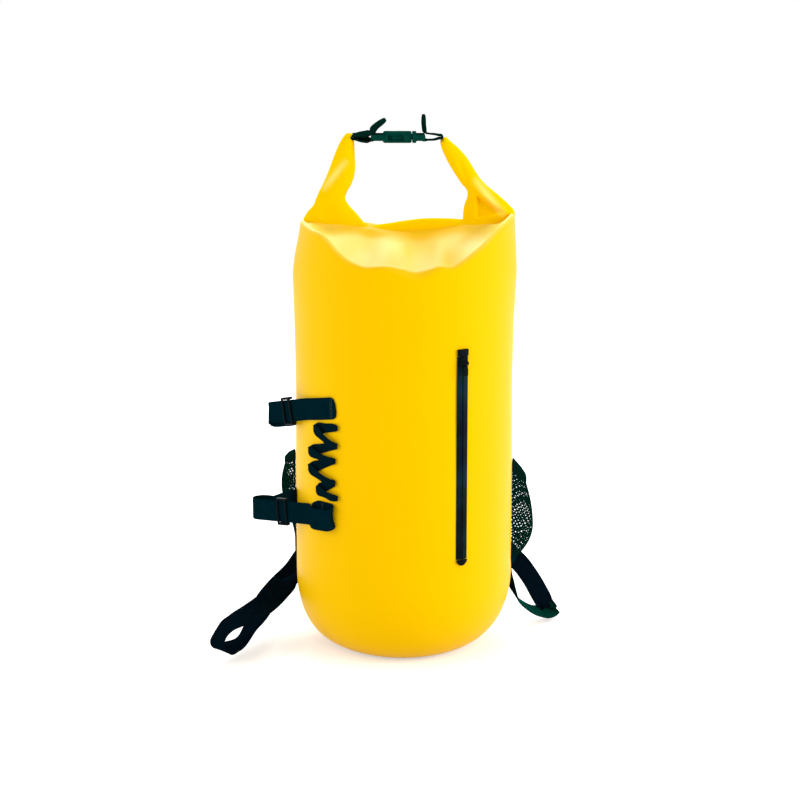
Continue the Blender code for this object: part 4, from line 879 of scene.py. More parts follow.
def mark_back(mesh, rows):
    """Write the back attribute of a strap: 0 on its face, 1 on its back, half way on its edges."""
    share = np.zeros(len(mesh.vertices))
    profile = (1 - flat_profile()[2]) / 2
    share[:rows * len(profile)] = np.tile(profile, rows)
    write_attribute(mesh, "back", share)


def stitch_grids(starts, ends, lift, thickness=0.00055, sides=6):
    """Short threads from starts to ends that rise by a lift in their middle: one small tube each."""
    turn = full_turn(sides)
    share = np.array([0.0, 0.2, 0.5, 0.8, 1.0])
    rise = np.array([-0.4, 0.7, 1.0, 0.7, -0.4])
    made = []
    for start, end, up in zip(starts, ends, lift):
        along = unit(end - start)
        beside = np.cross(along, up)
        middle = start + (end - start) * share[:, None] + up * (thickness * rise)[:, None]
        ring = beside * np.cos(turn)[:, None] + up * np.sin(turn)[:, None]
        made.append(grid(middle[:, None] + ring[None] * thickness / 2))
    return made


print("strap helpers ready")

# %% [markdown]
# ## Closing webbing
# A strand of webbing comes out of the tip of each arm, goes round the bar of its buckle half, comes
# back and ends in a tail that stands up. The route is a short list of points in the upright plane
# through the bar. Its fold is tucked into the arm's tip, where the real one is sewn in.

# %% Closing webbing
BUCKLE_LEVEL = 0.580
LEFT_BAR, RIGHT_BAR = -0.0354, 0.0221
BAR_HALF, BAR_OFF = 0.0016, 0.00115
CLOSURE_WIDTH, CLOSURE_THICKNESS, CLOSURE_STEP = 0.025, 0.0020, 0.0008
TUCK = {"left": -0.0580, "right": 0.0425}
TAILS = {"left": (0.0150, 0.0195), "right": (0.0005, 0.0250)}
STRAND_TILT, TAIL_TWIST = {"left": 11.0, "right": -4.0}, {"left": -17.0, "right": -8.0}


def closure_path(side, bar, tuck, tail):
    """Out under the bar to the fold in the arm, back over the bar and up as a tail."""
    fold = abs(tuck - bar)
    above = 0.002 + BAR_OFF
    route = [(BAR_HALF + BAR_OFF, 0.0004), (BAR_HALF + BAR_OFF, -0.0009), (BAR_HALF + 0.0008, -0.0028),
             (BAR_HALF - 0.0006, -above), (-BAR_HALF - BAR_OFF, -above), (-0.6 * fold, -0.0026),
             (0.004 - fold, -0.0014), (0.0006 - fold, -0.0008), (-fold, 0.0004), (0.0006 - fold, 0.0016),
             (0.004 - fold, 0.0021), (-0.6 * fold, 0.0030), (-BAR_HALF - 0.0042, above + 0.0005),
             (-0.0014, above + 0.0016), (0.15 * tail[0], above + 0.0016 + 0.25 * tail[1]), tail]
    path = [(bar - side * along, 0.0, BUCKLE_LEVEL + up) for along, up in route]
    return evenly(through(path, 8), CLOSURE_STEP)


def closure_width(path, side, bar, fold, tilt, twist):
    """Width directions: level at the bar, tipped a little beyond it, turned along the tail."""
    away = side * (path[:, 0] - bar)
    tip = np.radians(tilt) * smoothstep(away / 0.006) * (1 - 0.7 * smoothstep(away / fold))
    turn = np.radians(twist) * smoothstep((path[:, 2] - BUCKLE_LEVEL - 0.002) / 0.004)
    return np.stack([np.sin(turn), np.cos(turn) * np.cos(tip), np.sin(tip)], axis=1)


for word, side, bar, body in (("left", -1, LEFT_BAR, "root"), ("right", 1, RIGHT_BAR, "closure_right")):
    path = closure_path(side, bar, TUCK[word], TAILS[word])
    tip = rounded_ends(path, CLOSURE_WIDTH, 0.009, start=False)
    across = closure_width(path, side, bar, abs(TUCK[word] - bar), STRAND_TILT[word], TAIL_TWIST[word])
    strap = mesh_of(word + "_closing_strap", strap_grid(path, tip, CLOSURE_THICKNESS, across))
    add_piece(word + "_closing_strap", strap, green_webbing, body, "webbing", word + "_closure_webbing")
    print(word, "closing strap", round(len(path) * CLOSURE_STEP * 1000), "mm")

# %% [markdown]
# ## Moulded plastic
# Buckles and slides have no sharp edge anywhere: every bar is rounded and every corner is filled. A
# Bevel modifier rounds boxes well, but not the inner corners where bars meet. Bars with round ends are
# easy to write down one by one. A voxel remesh then melts the overlapping bars of one moulding into one
# skin, and a little smoothing leaves the small fillets that a mould has.


# %% Moulding helpers
def bar_grid(start, end, half_width, half_height, upward, power=3.5, sides=20, nose=0.6):
    """A bar with rounded section and rounded ends between two points."""
    start, end = np.asarray(start, float), np.asarray(end, float)
    along = unit(end - start)
    up = square_to(along, np.asarray(upward, float))
    beside = np.cross(along, up)
    length = np.linalg.norm(end - start)
    round_end = nose * min(half_width, half_height, length / 2)
    turn = np.radians(np.linspace(0, 90, 5))
    places = np.concatenate([round_end * (1 - np.sin(turn[::-1])),
                             length - round_end * (1 - np.sin(turn))])
    shrink = np.concatenate([round_end * (1 - np.cos(turn[::-1])), round_end * (1 - np.cos(turn))])
    angle = full_turn(sides)[None, :]
    wide, tall = rounded(angle, (half_width - shrink)[:, None], (half_height - shrink)[:, None], power)
    points = (start + along * places[:, None])[:, None] + beside * wide[..., None] + up * tall[..., None]
    return grid(points)


def moulding(name, voxel, cutters, *grids, smooth=4):
    """Melt overlapping bars into one skin, after cutting boxes out of them."""
    thing = bpy.data.objects.new(name, mesh_of(name, *grids))
    scene.collection.objects.link(thing)
    tools = []
    for low, high in cutters:
        middle = (np.array(low) + high) / 2
        half = (np.array(high) - low) / 2
        reach = np.array([half[0], 0, 0])
        box = bar_grid(middle - reach, middle + reach, half[1], half[2], UP, 12, 24, 0.1)
        tool = bpy.data.objects.new(name + "_cutter", mesh_of(name + "_cutter", box))
        scene.collection.objects.link(tool)
        cut = thing.modifiers.new("cut", 'BOOLEAN')
        cut.object, cut.solver, cut.use_self = tool, 'EXACT', True
        tools.append(tool)
    melt = thing.modifiers.new("melt", 'REMESH')
    melt.mode, melt.voxel_size = 'VOXEL', voxel
    soften = thing.modifiers.new("soften", 'SMOOTH')
    soften.iterations, soften.factor = smooth, 0.5
    seen = thing.evaluated_get(bpy.context.evaluated_depsgraph_get())
    mesh = bpy.data.meshes.new_from_object(seen)
    for spare in (thing, *tools):
        bpy.data.objects.remove(spare)
    mesh.name = name
    mesh.shade_smooth()
    return mesh


print("moulding helpers ready")

# %% [markdown]
# ## Side-release buckle
# The socket is a flat hollow pocket with a window in each side, through which the prongs are pressed.
# The plug has a collar, a middle guide and two sprung prongs. Both halves end in a bar for the webbing.

# %% Side-release buckle
SOCKET_BACK, SOCKET_MOUTH = -0.0235, 0.0085
COLLAR_FACE, COLLAR_BACK = 0.0089, 0.0134
BUCKLE_HALF_WIDTH, BUCKLE_HALF_HEIGHT, BUCKLE_WALL = 0.0170, 0.0060, 0.0022
RAIL_MIDDLE, RAIL_HALF, RAIL_HALF_HEIGHT = 0.0150, 0.0019, 0.0034
SOCKET_RAIL_START, SOCKET_RAIL_END = SOCKET_BACK + 0.0012, -0.0362
PLUG_RAIL_START, PLUG_RAIL_END = 0.0122, 0.0230
CROSS_BAR_HALF, CROSS_BAR_HALF_HEIGHT = 0.0015, 0.0021
WINDOW_START, WINDOW_END, WINDOW_HALF_HEIGHT = -0.0180, -0.0003, 0.0027
GUIDE_TIP, GUIDE_ROOT, GUIDE_HALF = -0.0061, 0.0110, 0.0030
PRONG_ROOT, PRONG_END, PRONG_SIDE, PRONG_HALF = 0.0083, -0.0140, 0.01265, (0.00165, 0.0033)
NOSE_ROOT, NOSE_END, NOSE_HALF = (-0.0125, 0.01255), (-0.0183, 0.01190), (0.00130, 0.0030)
BUCKLE_VOXEL, PRONG_VOXEL = 0.00042, 0.0003


def buckle_bar(start, end, half_width, half_height, *shape):
    """A bar at the buckle's level between two places given along it and across it."""
    return bar_grid((*start, BUCKLE_LEVEL), (*end, BUCKLE_LEVEL), half_width, half_height, UP, *shape)


def across_bar(x):
    """A bar that runs from rail to rail."""
    return buckle_bar((x, -RAIL_MIDDLE), (x, RAIL_MIDDLE), CROSS_BAR_HALF, CROSS_BAR_HALF_HEIGHT)


def rails(start, end):
    """The two side rails of a ladder end."""
    return [buckle_bar((start, side * RAIL_MIDDLE), (end, side * RAIL_MIDDLE), RAIL_HALF, RAIL_HALF_HEIGHT)
            for side in (-1, 1)]


def buckle_box(x0, x1, half_width, half_height):
    """A box about the buckle's middle line."""
    return ((x0, -half_width, BUCKLE_LEVEL - half_height), (x1, half_width, BUCKLE_LEVEL + half_height))


body_bar = buckle_bar((SOCKET_BACK, 0), (SOCKET_MOUTH, 0), BUCKLE_HALF_WIDTH, BUCKLE_HALF_HEIGHT,
                      5.0, 48, 0.35)
cavity = buckle_box(SOCKET_BACK + BUCKLE_WALL, SOCKET_MOUTH + 0.004, BUCKLE_HALF_WIDTH - BUCKLE_WALL,
                    BUCKLE_HALF_HEIGHT - BUCKLE_WALL)
windows = buckle_box(WINDOW_START, WINDOW_END, 2 * BUCKLE_HALF_WIDTH, WINDOW_HALF_HEIGHT)
socket = moulding("buckle_pocket", BUCKLE_VOXEL, (cavity, windows), body_bar,
                  *rails(SOCKET_RAIL_START, SOCKET_RAIL_END), across_bar(LEFT_BAR))
add_piece("buckle_pocket", socket, buckle_plastic, "root", "plastic", "buckle_socket")
collar = buckle_bar((COLLAR_FACE, 0), (COLLAR_BACK, 0), BUCKLE_HALF_WIDTH, BUCKLE_HALF_HEIGHT,
                    5.0, 48, 0.25)
guide = buckle_bar((GUIDE_TIP, 0), (GUIDE_ROOT, 0), GUIDE_HALF, GUIDE_HALF)
plug = moulding("buckle_tongue", BUCKLE_VOXEL, (), collar, guide,
                *rails(PLUG_RAIL_START, PLUG_RAIL_END), across_bar(RIGHT_BAR))
add_piece("buckle_tongue", plug, buckle_plastic, "closure_right", "plastic", "buckle_plug")
for word, side in (("front", -1), ("rear", 1)):
    shaft = buckle_bar((PRONG_ROOT, side * PRONG_SIDE), (PRONG_END, side * PRONG_SIDE), *PRONG_HALF)
    nose = buckle_bar((NOSE_ROOT[0], side * NOSE_ROOT[1]), (NOSE_END[0], side * NOSE_END[1]), *NOSE_HALF)
    prong = moulding(f"buckle_{word}_spring", PRONG_VOXEL, (), shaft, nose)
    add_piece(f"buckle_{word}_spring", prong, buckle_plastic, f"{word}_prong", "plastic",
              f"buckle_{word}_prong")
print("buckle", len(socket.vertices) + len(plug.vertices), "points")

# %% [markdown]
# ## Front zip
# The zip lies flat on the wall. Its two tapes are coated lips that swell towards the seam and hide the
# coil, so from outside there is one dark band with a fine line down it. A painted strip would miss the
# swelling, which catches the light, so each lip is an outline carried up the zip. The zip's own
# directions are across, outwards and up, and one function turns these into places in the frame.

# %% Front zip
ZIP_AZIMUTH = 30.4
ZIP_FACE = WALL_RADIUS * math.cos(math.pi / 48)
ZIP_LOW, ZIP_HIGH = 0.1255, 0.353
ZIP_HALF = 0.0070
LIP = [(0.00020, 0.0004), (0.0069, 0.0004), (0.0070, 0.0006), (0.0066, 0.0009), (0.0050, 0.0011),
       (0.0030, 0.0014), (0.0015, 0.0018), (0.0008, 0.0018), (0.0004, 0.0015), (0.00025, 0.0010)]
PLATE_OUT, PLATE_HALF = 0.0017, 0.0013
CAP_TOP, CAP_RIDGE_LEVEL, CAP_RIDGE_OUT, CAP_RIDGE_REACH = 0.361, 0.3585, 0.0026, 0.0045
END_STEPS = ((0.0024, 0.0070), (0.0044, 0.0062), (0.0060, 0.0045), (0.0070, 0.0026))
PIN_OUT, PIN_LEVEL, PIN_HALF, PIN_REACH = 0.0076, 0.3465, 0.0008, 0.0028
LUG_SIDE, LUG_INNER, LUG_OUTER = 0.0024, 0.0046, 0.0093
RUNNER_LOW, RUNNER_HIGH, RUNNER_OUT = 0.3411, 0.3519, 0.0039
ZIP_VOXEL, RUNNER_VOXEL, TAB_VOXEL = 0.00028, 0.00022, 0.00016
COIL_PITCH, COIL_RADIUS, COIL_SWELL, COIL_OUT = 0.0015, 0.00042, 0.00010, 0.00105


def on_zip(across, out, up):
    """Points from directions across the zip, outwards and up."""
    across, out, up = np.broadcast_arrays(across, out, up)
    return (around(ZIP_AZIMUTH) * across[..., None] + outwards(ZIP_AZIMUTH) * (ZIP_FACE + out)[..., None]
            + UP * up[..., None])


def zip_bar(start, end, half_across, half_out, power=3.5, nose=0.6):
    """A rounded bar between two places given across, out and up."""
    return bar_grid(on_zip(*start), on_zip(*end), half_across, half_out, outwards(ZIP_AZIMUTH),
                    power, 24, nose)


def lip_grid(side):
    """One lip: its closed outline carried up the zip."""
    across, out = np.array(LIP).T
    up = np.linspace(ZIP_LOW, ZIP_HIGH, 120)[:, None]
    points = on_zip(side * across[None, :], out[None, :], up)
    walked = np.cumsum(np.hypot(np.gradient(across), np.gradient(out)))
    return grid(points, np.stack(np.broadcast_arrays(walked[None, :], up), axis=2))


for word, side in SIDES:
    add_piece(f"zip_{word}_lip", mesh_of(f"zip_{word}_lip", lip_grid(side), sharp=60), zip_coat, "root",
              "zip_tape", f"zip_{word}_tape")
rise = np.linspace(ZIP_LOW, ZIP_HIGH, 640)[:, None]
turn = full_turn(10)[None, :]
bead = COIL_RADIUS + COIL_SWELL * np.sin(2 * math.pi * rise / COIL_PITCH)
coil = on_zip(bead * np.cos(turn) * 0.45, COIL_OUT + bead * np.sin(turn), rise)
add_piece("zip_teeth", mesh_of("zip_teeth", grid(coil)), black_plastic, "root", "plastic", "zip_coil")
plate = zip_bar((0, PLATE_OUT, ZIP_HIGH + SEAT_GAP), (0, PLATE_OUT, CAP_TOP), ZIP_HALF, PLATE_HALF)
ridge = zip_bar((-CAP_RIDGE_REACH, CAP_RIDGE_OUT, CAP_RIDGE_LEVEL),
                (CAP_RIDGE_REACH, CAP_RIDGE_OUT, CAP_RIDGE_LEVEL), 0.0010, 0.0009)
garage = moulding("zip_cap", ZIP_VOXEL, (), plate, ridge)
add_piece("zip_cap", garage, black_plastic, "root", "plastic", "zip_garage")
steps = [zip_bar((0, PLATE_OUT, ZIP_LOW - SEAT_GAP), (0, PLATE_OUT, ZIP_LOW - drop), wide, PLATE_HALF)
         for drop, wide in END_STEPS]
stop = moulding("zip_end", ZIP_VOXEL, (), *steps)
add_piece("zip_end", stop, black_plastic, "root", "plastic", "zip_bottom_stop")
lugs = [bar_grid(on_zip(side * LUG_SIDE, LUG_INNER, PIN_LEVEL),
                 on_zip(side * LUG_SIDE, LUG_OUTER, PIN_LEVEL), 0.0006, 0.0017, UP) for side in (-1, 1)]
pin = bar_grid(on_zip(-PIN_REACH, PIN_OUT, PIN_LEVEL), on_zip(PIN_REACH, PIN_OUT, PIN_LEVEL),
               PIN_HALF, PIN_HALF, UP, 2.0)
body = zip_bar((0, RUNNER_OUT, RUNNER_LOW), (0, RUNNER_OUT, RUNNER_HIGH), 0.0045, 0.0015)
runner = moulding("zip_runner", RUNNER_VOXEL, (), body, *lugs, pin)
add_piece("zip_runner", runner, black_plastic, "zip_slider", "plastic", "zip_slider")
print("zip", round((ZIP_HIGH - ZIP_LOW) * 1000), "mm long")

# %% [markdown]
# ## Zip pull
# The pull is a small tab with an eye round the slider's pin. A torus would make the eye too round, so
# it is a flat section carried round the pin, and its rows join up as well as its columns.

# %% Zip pull
EYE_MIDDLE, EYE_HALF_WALL, EYE_HALF_WIDTH = 0.0015, 0.0003, 0.0013
EYE_ROWS, EYE_SIDES = 40, 16
NECK_START, NECK_END, TAB_START, TAB_END = 0.0014, 0.0075, 0.0056, 0.0139
GRIP_DROPS, GRIP_REACH, GRIP_OUT, GRIP_HALF = (0.0085, 0.0099, 0.0113), 0.0022, 0.0006, 0.0003


def eye_grid():
    """A ring about the pin: rows round the pin, columns round the section."""
    row = full_turn(EYE_ROWS)[:, None]
    wide, thick = rounded(full_turn(EYE_SIDES)[None, :], EYE_HALF_WIDTH, EYE_HALF_WALL, 3.0)
    radius = EYE_MIDDLE + thick
    points = on_zip(wide, PIN_OUT + radius * np.cos(row), PIN_LEVEL + radius * np.sin(row))
    return grid(points, ring=True)


neck = zip_bar((0, PIN_OUT, PIN_LEVEL - NECK_START), (0, PIN_OUT, PIN_LEVEL - NECK_END), 0.0014, 0.0006)
tab = zip_bar((0, PIN_OUT, PIN_LEVEL - TAB_START), (0, PIN_OUT, PIN_LEVEL - TAB_END), 0.0029, 0.0007, 4.0)
grips = [zip_bar((-GRIP_REACH, PIN_OUT + side * GRIP_OUT, PIN_LEVEL - drop),
                 (GRIP_REACH, PIN_OUT + side * GRIP_OUT, PIN_LEVEL - drop), GRIP_HALF, GRIP_HALF)
         for drop in GRIP_DROPS for side in (-1, 1)]
pull = moulding("zip_tab", TAB_VOXEL, (), eye_grid(), neck, tab, *grips, smooth=2)
add_piece("zip_tab", pull, black_plastic, "zip_pull", "plastic", "zip_pull")
print("zip pull", len(pull.vertices), "points")

# %% [markdown]
# ## Pocket sheet and stiffener
# Behind the zip a second sheet is welded to the inside of the wall: a shallow dome with its edges on
# the wall, and a thickness of its own from Solidify. A flat strip in the core of the roll keeps the
# mouth straight, and is one rounded bar. Neither is seen while the bag is shut.

# %% Pocket sheet and stiffener
POUCH_SPREAD, POUCH_DEPTH, POUCH_MARGIN, POUCH_SHEET = 36.0, 0.014, 0.012, 0.0008
POUCH_EDGE = ZIP_FACE - 0.0024
STIFFENER_REACH, STIFFENER_LEVEL, STIFFENER_HALF = 0.068, 0.4780, (0.001, 0.004)


def pouch_grid():
    """A dome that falls from the wall towards the axis: powers of two sines, zero on all four edges."""
    across = np.linspace(0, 1, 49)[None, :]
    up = np.linspace(0, 1, 61)[:, None]
    fall = POUCH_DEPTH * np.sin(np.pi * across) ** 0.7 * np.sin(np.pi * up) ** 0.5
    azimuth = ZIP_AZIMUTH + POUCH_SPREAD * (2 * across - 1) + 0 * up
    height = ZIP_LOW - POUCH_MARGIN + (ZIP_HIGH - ZIP_LOW + 2 * POUCH_MARGIN) * up + 0 * across
    return at(azimuth, POUCH_EDGE - fall, height)


def with_wall(piece, thickness, offset):
    """Give a sheet a wall on one side or both."""
    wall = piece.modifiers.new("wall", 'SOLIDIFY')
    wall.thickness, wall.offset = thickness, offset
    return piece


pouch_mesh = mesh_of("zip_pouch", grid(pouch_grid(), closed=False, capped=()), outward=False)
pouch = add_piece("zip_pouch", pouch_mesh, tarpaulin, "root", "tarpaulin", "zip_pocket_pouch")
with_wall(pouch, POUCH_SHEET, -1)
strip = bar_grid((-STIFFENER_REACH, 0, STIFFENER_LEVEL), (STIFFENER_REACH, 0, STIFFENER_LEVEL),
                 *STIFFENER_HALF, UP)
add_piece("roll_stiffener", mesh_of("roll_stiffener", strip), black_plastic, "root", "plastic",
          "mouth_stiffener")
print("pouch and stiffener made")

# %% [markdown]
# ## Side straps
# Two short straps on the left flank hold gear. Each is sewn down at its front end, runs through a
# three-bar slide, turns round in a loop that stands off the flank, and comes back to the wall. The
# lower one is doubled at its front end: it starts behind itself and bulges where it turns round. Seen
# from above, the loop is an arc, and the two straight runs touch it, so their angles on the arc come
# from the right triangle between a point, the arc's centre and the place where the line touches. A row
# of SIDE_STRAPS gives the front azimuth, the reach of the loop, the heights of the front end, of the
# place where the strap leaves the wall, of the loop and of the sewn end, then the slope of the slide's
# track, the bow of the front run, the radius of the arc, the lean of its tip and the lift of the
# doubled end.

# %% Side straps
STRAP_WIDTH, STRAP_THICKNESS, STRAP_TURN, STRAP_STEP = 0.0245, 0.0016, 0.005, 0.0012
STRAP_LEAVE, STRAP_RETURN, STRAP_LOOP, STRAP_SEWN = -58.0, -78.0, -82.0, -86.5
STRAP_LIE = WALL_RADIUS + SEAT_GAP + STRAP_THICKNESS / 2
SIDE_STRAPS = {"upper": (-37.0, 0.030, (0.294, 0.286, 0.2665, 0.270), 0.2191, 0.0, 0.005, 34.0, 0.0),
               "lower": (-40.3, 0.046, (0.168, 0.166, 0.158, 0.171), 0.0767, 0.005, 0.014, 0.0, 0.009)}
KEEPER_START, KEEPER_RISE = -54.5, 0.0055
STRAP_TIP_REACH = 0.0135


def touching_angle(point, centre, radius, side):
    """Angle on a level circle where a line from a point touches it."""
    away = (point - centre)[:2]
    return math.atan2(away[1], away[0]) + side * math.acos(radius / math.hypot(*away))


def keeper_path(front, height, lift):
    """The doubled part of a strap: it is sewn to the wall behind the front run, goes to the front end,
    and turns round there in a half circle whose width is the lift."""
    share = np.linspace(0, 1, 14)
    level = height + KEEPER_RISE * smoothstep(share / 0.5)
    sewn = on_wall(KEEPER_START + (front - KEEPER_START) * share, STRAP_LIE - WALL_RADIUS, level)
    angle = np.linspace(0, math.pi, 16)[1:-1]
    azimuth = front + np.degrees(lift / 2 * np.sin(angle) / STRAP_LIE)
    level = height + KEEPER_RISE * (1 + np.cos(angle)) / 2
    bend = on_wall(azimuth, STRAP_LIE - WALL_RADIUS + lift / 2 * (1 - np.cos(angle)), level)
    return np.vstack([sewn, bend])


def side_strap_path(front_azimuth, reach, heights, slope, bow, turn, lift):
    """Front run on the wall, straight run to the loop, arc, and the end that is sewn to the wall. The
    straight run falls by its slope, which is the track of the slide, and the arc falls the rest."""
    front_z, leave_z, loop_z, sewn_z = heights
    share = np.linspace(0, 1, 24)
    azimuth = front_azimuth + (STRAP_LEAVE - front_azimuth) * share
    height = front_z + (leave_z - front_z) * share
    hug = (wall_radius(azimuth, height) - WALL_RADIUS) * (1 - share)
    bulge = bow * np.sin(np.pi * share) ** 2 + lift * (1 - smoothstep(share / 0.9))
    front = at(azimuth, STRAP_LIE + hug + 0.0012 * share + bulge, height)
    back = at(STRAP_RETURN, STRAP_LIE + STRAP_TURN, sewn_z)
    centre = at(STRAP_LOOP, WALL_RADIUS + reach - STRAP_TURN, loop_z)
    first = touching_angle(front[-1], centre, STRAP_TURN, -1)
    centre = centre - (turn - STRAP_TURN) * np.array([math.cos(first), math.sin(first), 0])
    last = touching_angle(back, centre, turn, 1)
    angle = np.linspace(first, last - 2 * math.pi * (last > first), 25)
    loop = centre + turn * np.stack([np.cos(angle), np.sin(angle), 0 * angle], axis=1)
    run = math.hypot(*(loop[0] - front[-1])[:2])
    loop[:, 2] += (leave_z - slope * run - loop_z) * np.linspace(1, 0, 25) ** 1.3
    sewn = at(np.linspace(STRAP_RETURN, STRAP_SEWN, 12)[1:], STRAP_LIE, sewn_z)
    path = np.vstack([front, loop, back[None], sewn])
    if lift:
        path = np.vstack([keeper_path(front_azimuth, front_z, lift), path])
    return path, front[-1], loop[0], loop[12]


slide_places = {}
for word, (*sizes, tip, lift) in SIDE_STRAPS.items():
    path, start, end, far = side_strap_path(*sizes, lift)
    slide_places[word] = (start + end) / 2, unit(end - start)
    path = evenly(path, STRAP_STEP)
    width = rounded_ends(path, STRAP_WIDTH, 0.0065, end=False)
    near = smoothstep(1 - np.linalg.norm(path - far, axis=1) / STRAP_TIP_REACH)
    lean = np.radians(tip) * near
    across = np.stack([0 * lean, np.sin(lean), np.cos(lean)], axis=1)
    strap = mesh_of(word + "_gear_strap", strap_grid(path, width, STRAP_THICKNESS, across))
    add_piece(word + "_gear_strap", strap, webbing, "root", "webbing", word + "_side_strap")
    print(word, "gear strap", round(len(path) * STRAP_STEP * 1000), "mm")

# %% [markdown]
# ## Three-bar slides
# Each slide is a frame of two rails and three bars. The two outer bars lie in front of the webbing and
# the middle bar behind it, so the webbing passes between them. The same recipe also gives the two larger
# ladder locks of the shoulder straps.

# %% Three-bar slides
GLIDE_SIZES, GLIDE_VOXEL = (0.0070, 0.0034, 0.0030, 0.0024), 0.00038


def slide_grids(centre, along, across, sizes, width, thickness):
    """Two rails, two outer bars and a middle bar, about a centre, with given directions."""
    half_length, half_height, rail, bar = sizes
    out = np.cross(along, across)
    inner, clear = width / 2 + SEAT_GAP, thickness / 2 + SEAT_GAP
    beside, level, thin = inner + rail / 2, (clear + half_height) / 2, (half_height - clear) / 2

    def frame_bar(x0, y0, z0, x1, y1, z1, half_width, half_tall):
        """A bar between two places given along the webbing, across it and outwards."""
        start = centre + along * x0 + across * y0 + out * z0
        end = centre + along * x1 + across * y1 + out * z1
        return bar_grid(start, end, half_width, half_tall, out, 3.0)

    made = [frame_bar(-half_length, side * beside, 0, half_length, side * beside, 0, rail / 2, half_height)
            for side in (-1, 1)]
    for x, z in ((-half_length + bar / 2, level), (half_length - bar / 2, level), (0, -level)):
        made.append(frame_bar(x, -beside, z, x, beside, z, bar / 2, thin))
    return made


for word, (centre, along) in slide_places.items():
    across = square_to(along, -UP)
    frame_grids = slide_grids(centre, along, across, GLIDE_SIZES, STRAP_WIDTH, STRAP_THICKNESS)
    glide = moulding(word + "_strap_slide", GLIDE_VOXEL, (), *frame_grids)
    add_piece(word + "_strap_slide", glide, black_plastic, word + "_glide", "plastic",
              word + "_tri_glide")
    print(word, "slide", len(glide.vertices), "points")

# %% [markdown]
# ## Lacing
# Between the two gear straps a flat elastic ribbon zigzags down the flank. It curls: the strokes that
# run to the left lie close to the wall, and the strokes back stand off it. A curled ribbon looks
# narrower where it is seen on edge, so the width is written down along each stroke. The turning points
# come from the photograph, and the curve between them is smooth.

# %% Lacing
LACING_TURNS = [(-35.1, 0.2722), (-51.9, 0.2674), (-35.2, 0.2521), (-56.6, 0.2405), (-36.5, 0.2348),
                (-56.7, 0.2210), (-36.6, 0.2100), (-49.9, 0.1990), (-34.8, 0.1936)]
LACING_NEAR, LACING_TURN, LACING_FAR = 0.0012, 0.0034, 0.0058
LACING_THICKNESS = 0.0010
LACING_LEFTWARD = (0.0058, 0.0086, 0.0104, 0.0122)
LACING_RIGHTWARD = (0.0062, 0.0110, 0.0080, 0.0080)


def lacing_path():
    """Turning points at a middle lift, and between them strokes that lie near the wall or off it."""
    azimuth, height = np.array(LACING_TURNS).T
    shares = np.array([0.0, 0.14, 0.5, 0.86])
    stroke = np.where(np.arange(len(azimuth) - 1) % 2 == 0, LACING_NEAR, LACING_FAR)[:, None]
    mixed_lift = LACING_TURN + (stroke - LACING_TURN) * np.array([0.0, 0.75, 1.0, 0.75])
    along = azimuth[:-1, None] + np.diff(azimuth)[:, None] * shares
    down = height[:-1, None] + np.diff(height)[:, None] * smoothstep(shares)
    points = on_wall(along.ravel(), mixed_lift.ravel(), down.ravel())
    last = on_wall(azimuth[-1:], LACING_TURN, height[-1:])
    width = np.tile(LACING_LEFTWARD + LACING_RIGHTWARD, len(points) // 8)
    path = np.column_stack([np.vstack([points, last]), np.append(width, LACING_LEFTWARD[0])])
    path = evenly(through(path, 8), STRAP_STEP)
    return path[:, :3], path[:, 3]


path, width = lacing_path()
lacing = mesh_of("flank_lacing", strap_grid(path, width, LACING_THICKNESS, UP))
add_piece("flank_lacing", lacing, elastic, "root", "webbing", "side_lacing")
print("lacing", round(len(path) * STRAP_STEP * 1000), "mm")

# %% [markdown]
# ## Mesh pockets
# The pockets are knitted net, sewn to the wall on three sides, and an elastic band gathers the mouth. A
# picture of holes would vanish at the edge of the bag, so the holes are real: a lattice of hexagons,
# each a ring of six small faces round a hole, is laid on the bulging sheet and then given a wall. A row
# of POCKETS gives the side, the mouth as azimuths and heights, the bulge, the share of the height where
# it is fullest, how much of it is left at the mouth, and the two powers that shift it and fill its
# foot.

# %% Mesh pockets
POCKET_BOTTOM, POCKET_GAP = 0.096, 0.0012
CELL_WIDE, CELL_TALL, CELL_HOLE, NET_WALL = 0.0058, 0.0042, 0.54, 0.0004
POCKETS = {"right": (1, [(84, 0.211), (89, 0.204), (95, 0.194), (100, 0.185), (105, 0.177), (110, 0.173),
                         (115, 0.173), (120, 0.178), (128, 0.190), (140, 0.200)],
                     0.0380, 0.36, 0.74, 1.2, 0.32),
           "left": (-1, [(89, 0.219), (95, 0.213), (100, 0.206), (107, 0.199), (115, 0.196), (125, 0.199),
                         (140, 0.205)],
                    0.028, 0.75, 0.80, 1.0, 2.4)}
HEM_WIDTH, HEM_THICKNESS = 0.0075, 0.0022


def pocket_sheet(across, up, word):
    """Points of a pocket: no bulge at its sides and its bottom, fullest at a peak, drawn in at the mouth.
    A power of the way across shifts the fullest part to the rear, and a power of the foot's own curve
    makes it full or slack."""
    side, mouth_line, bulge, peak, mouth, shift, slack = POCKETS[word]
    turn = mouth_line[0][0] + (mouth_line[-1][0] - mouth_line[0][0]) * across
    height = POCKET_BOTTOM + (column(mouth_line, turn)[0] - POCKET_BOTTOM) * up
    arch = np.sin(np.pi * np.clip(across, 0, 1) ** shift) ** (0.7 + 0.5 * up)
    below = (1 - (1 - np.minimum(up / peak, 1)) ** 2) ** slack
    above = 1 - (1 - mouth) * (np.maximum(up - peak, 0) / (1 - peak)) ** 2
    lift = POCKET_GAP + bulge * arch * np.where(up < peak, below, above)
    return on_wall(side * turn, lift, height)


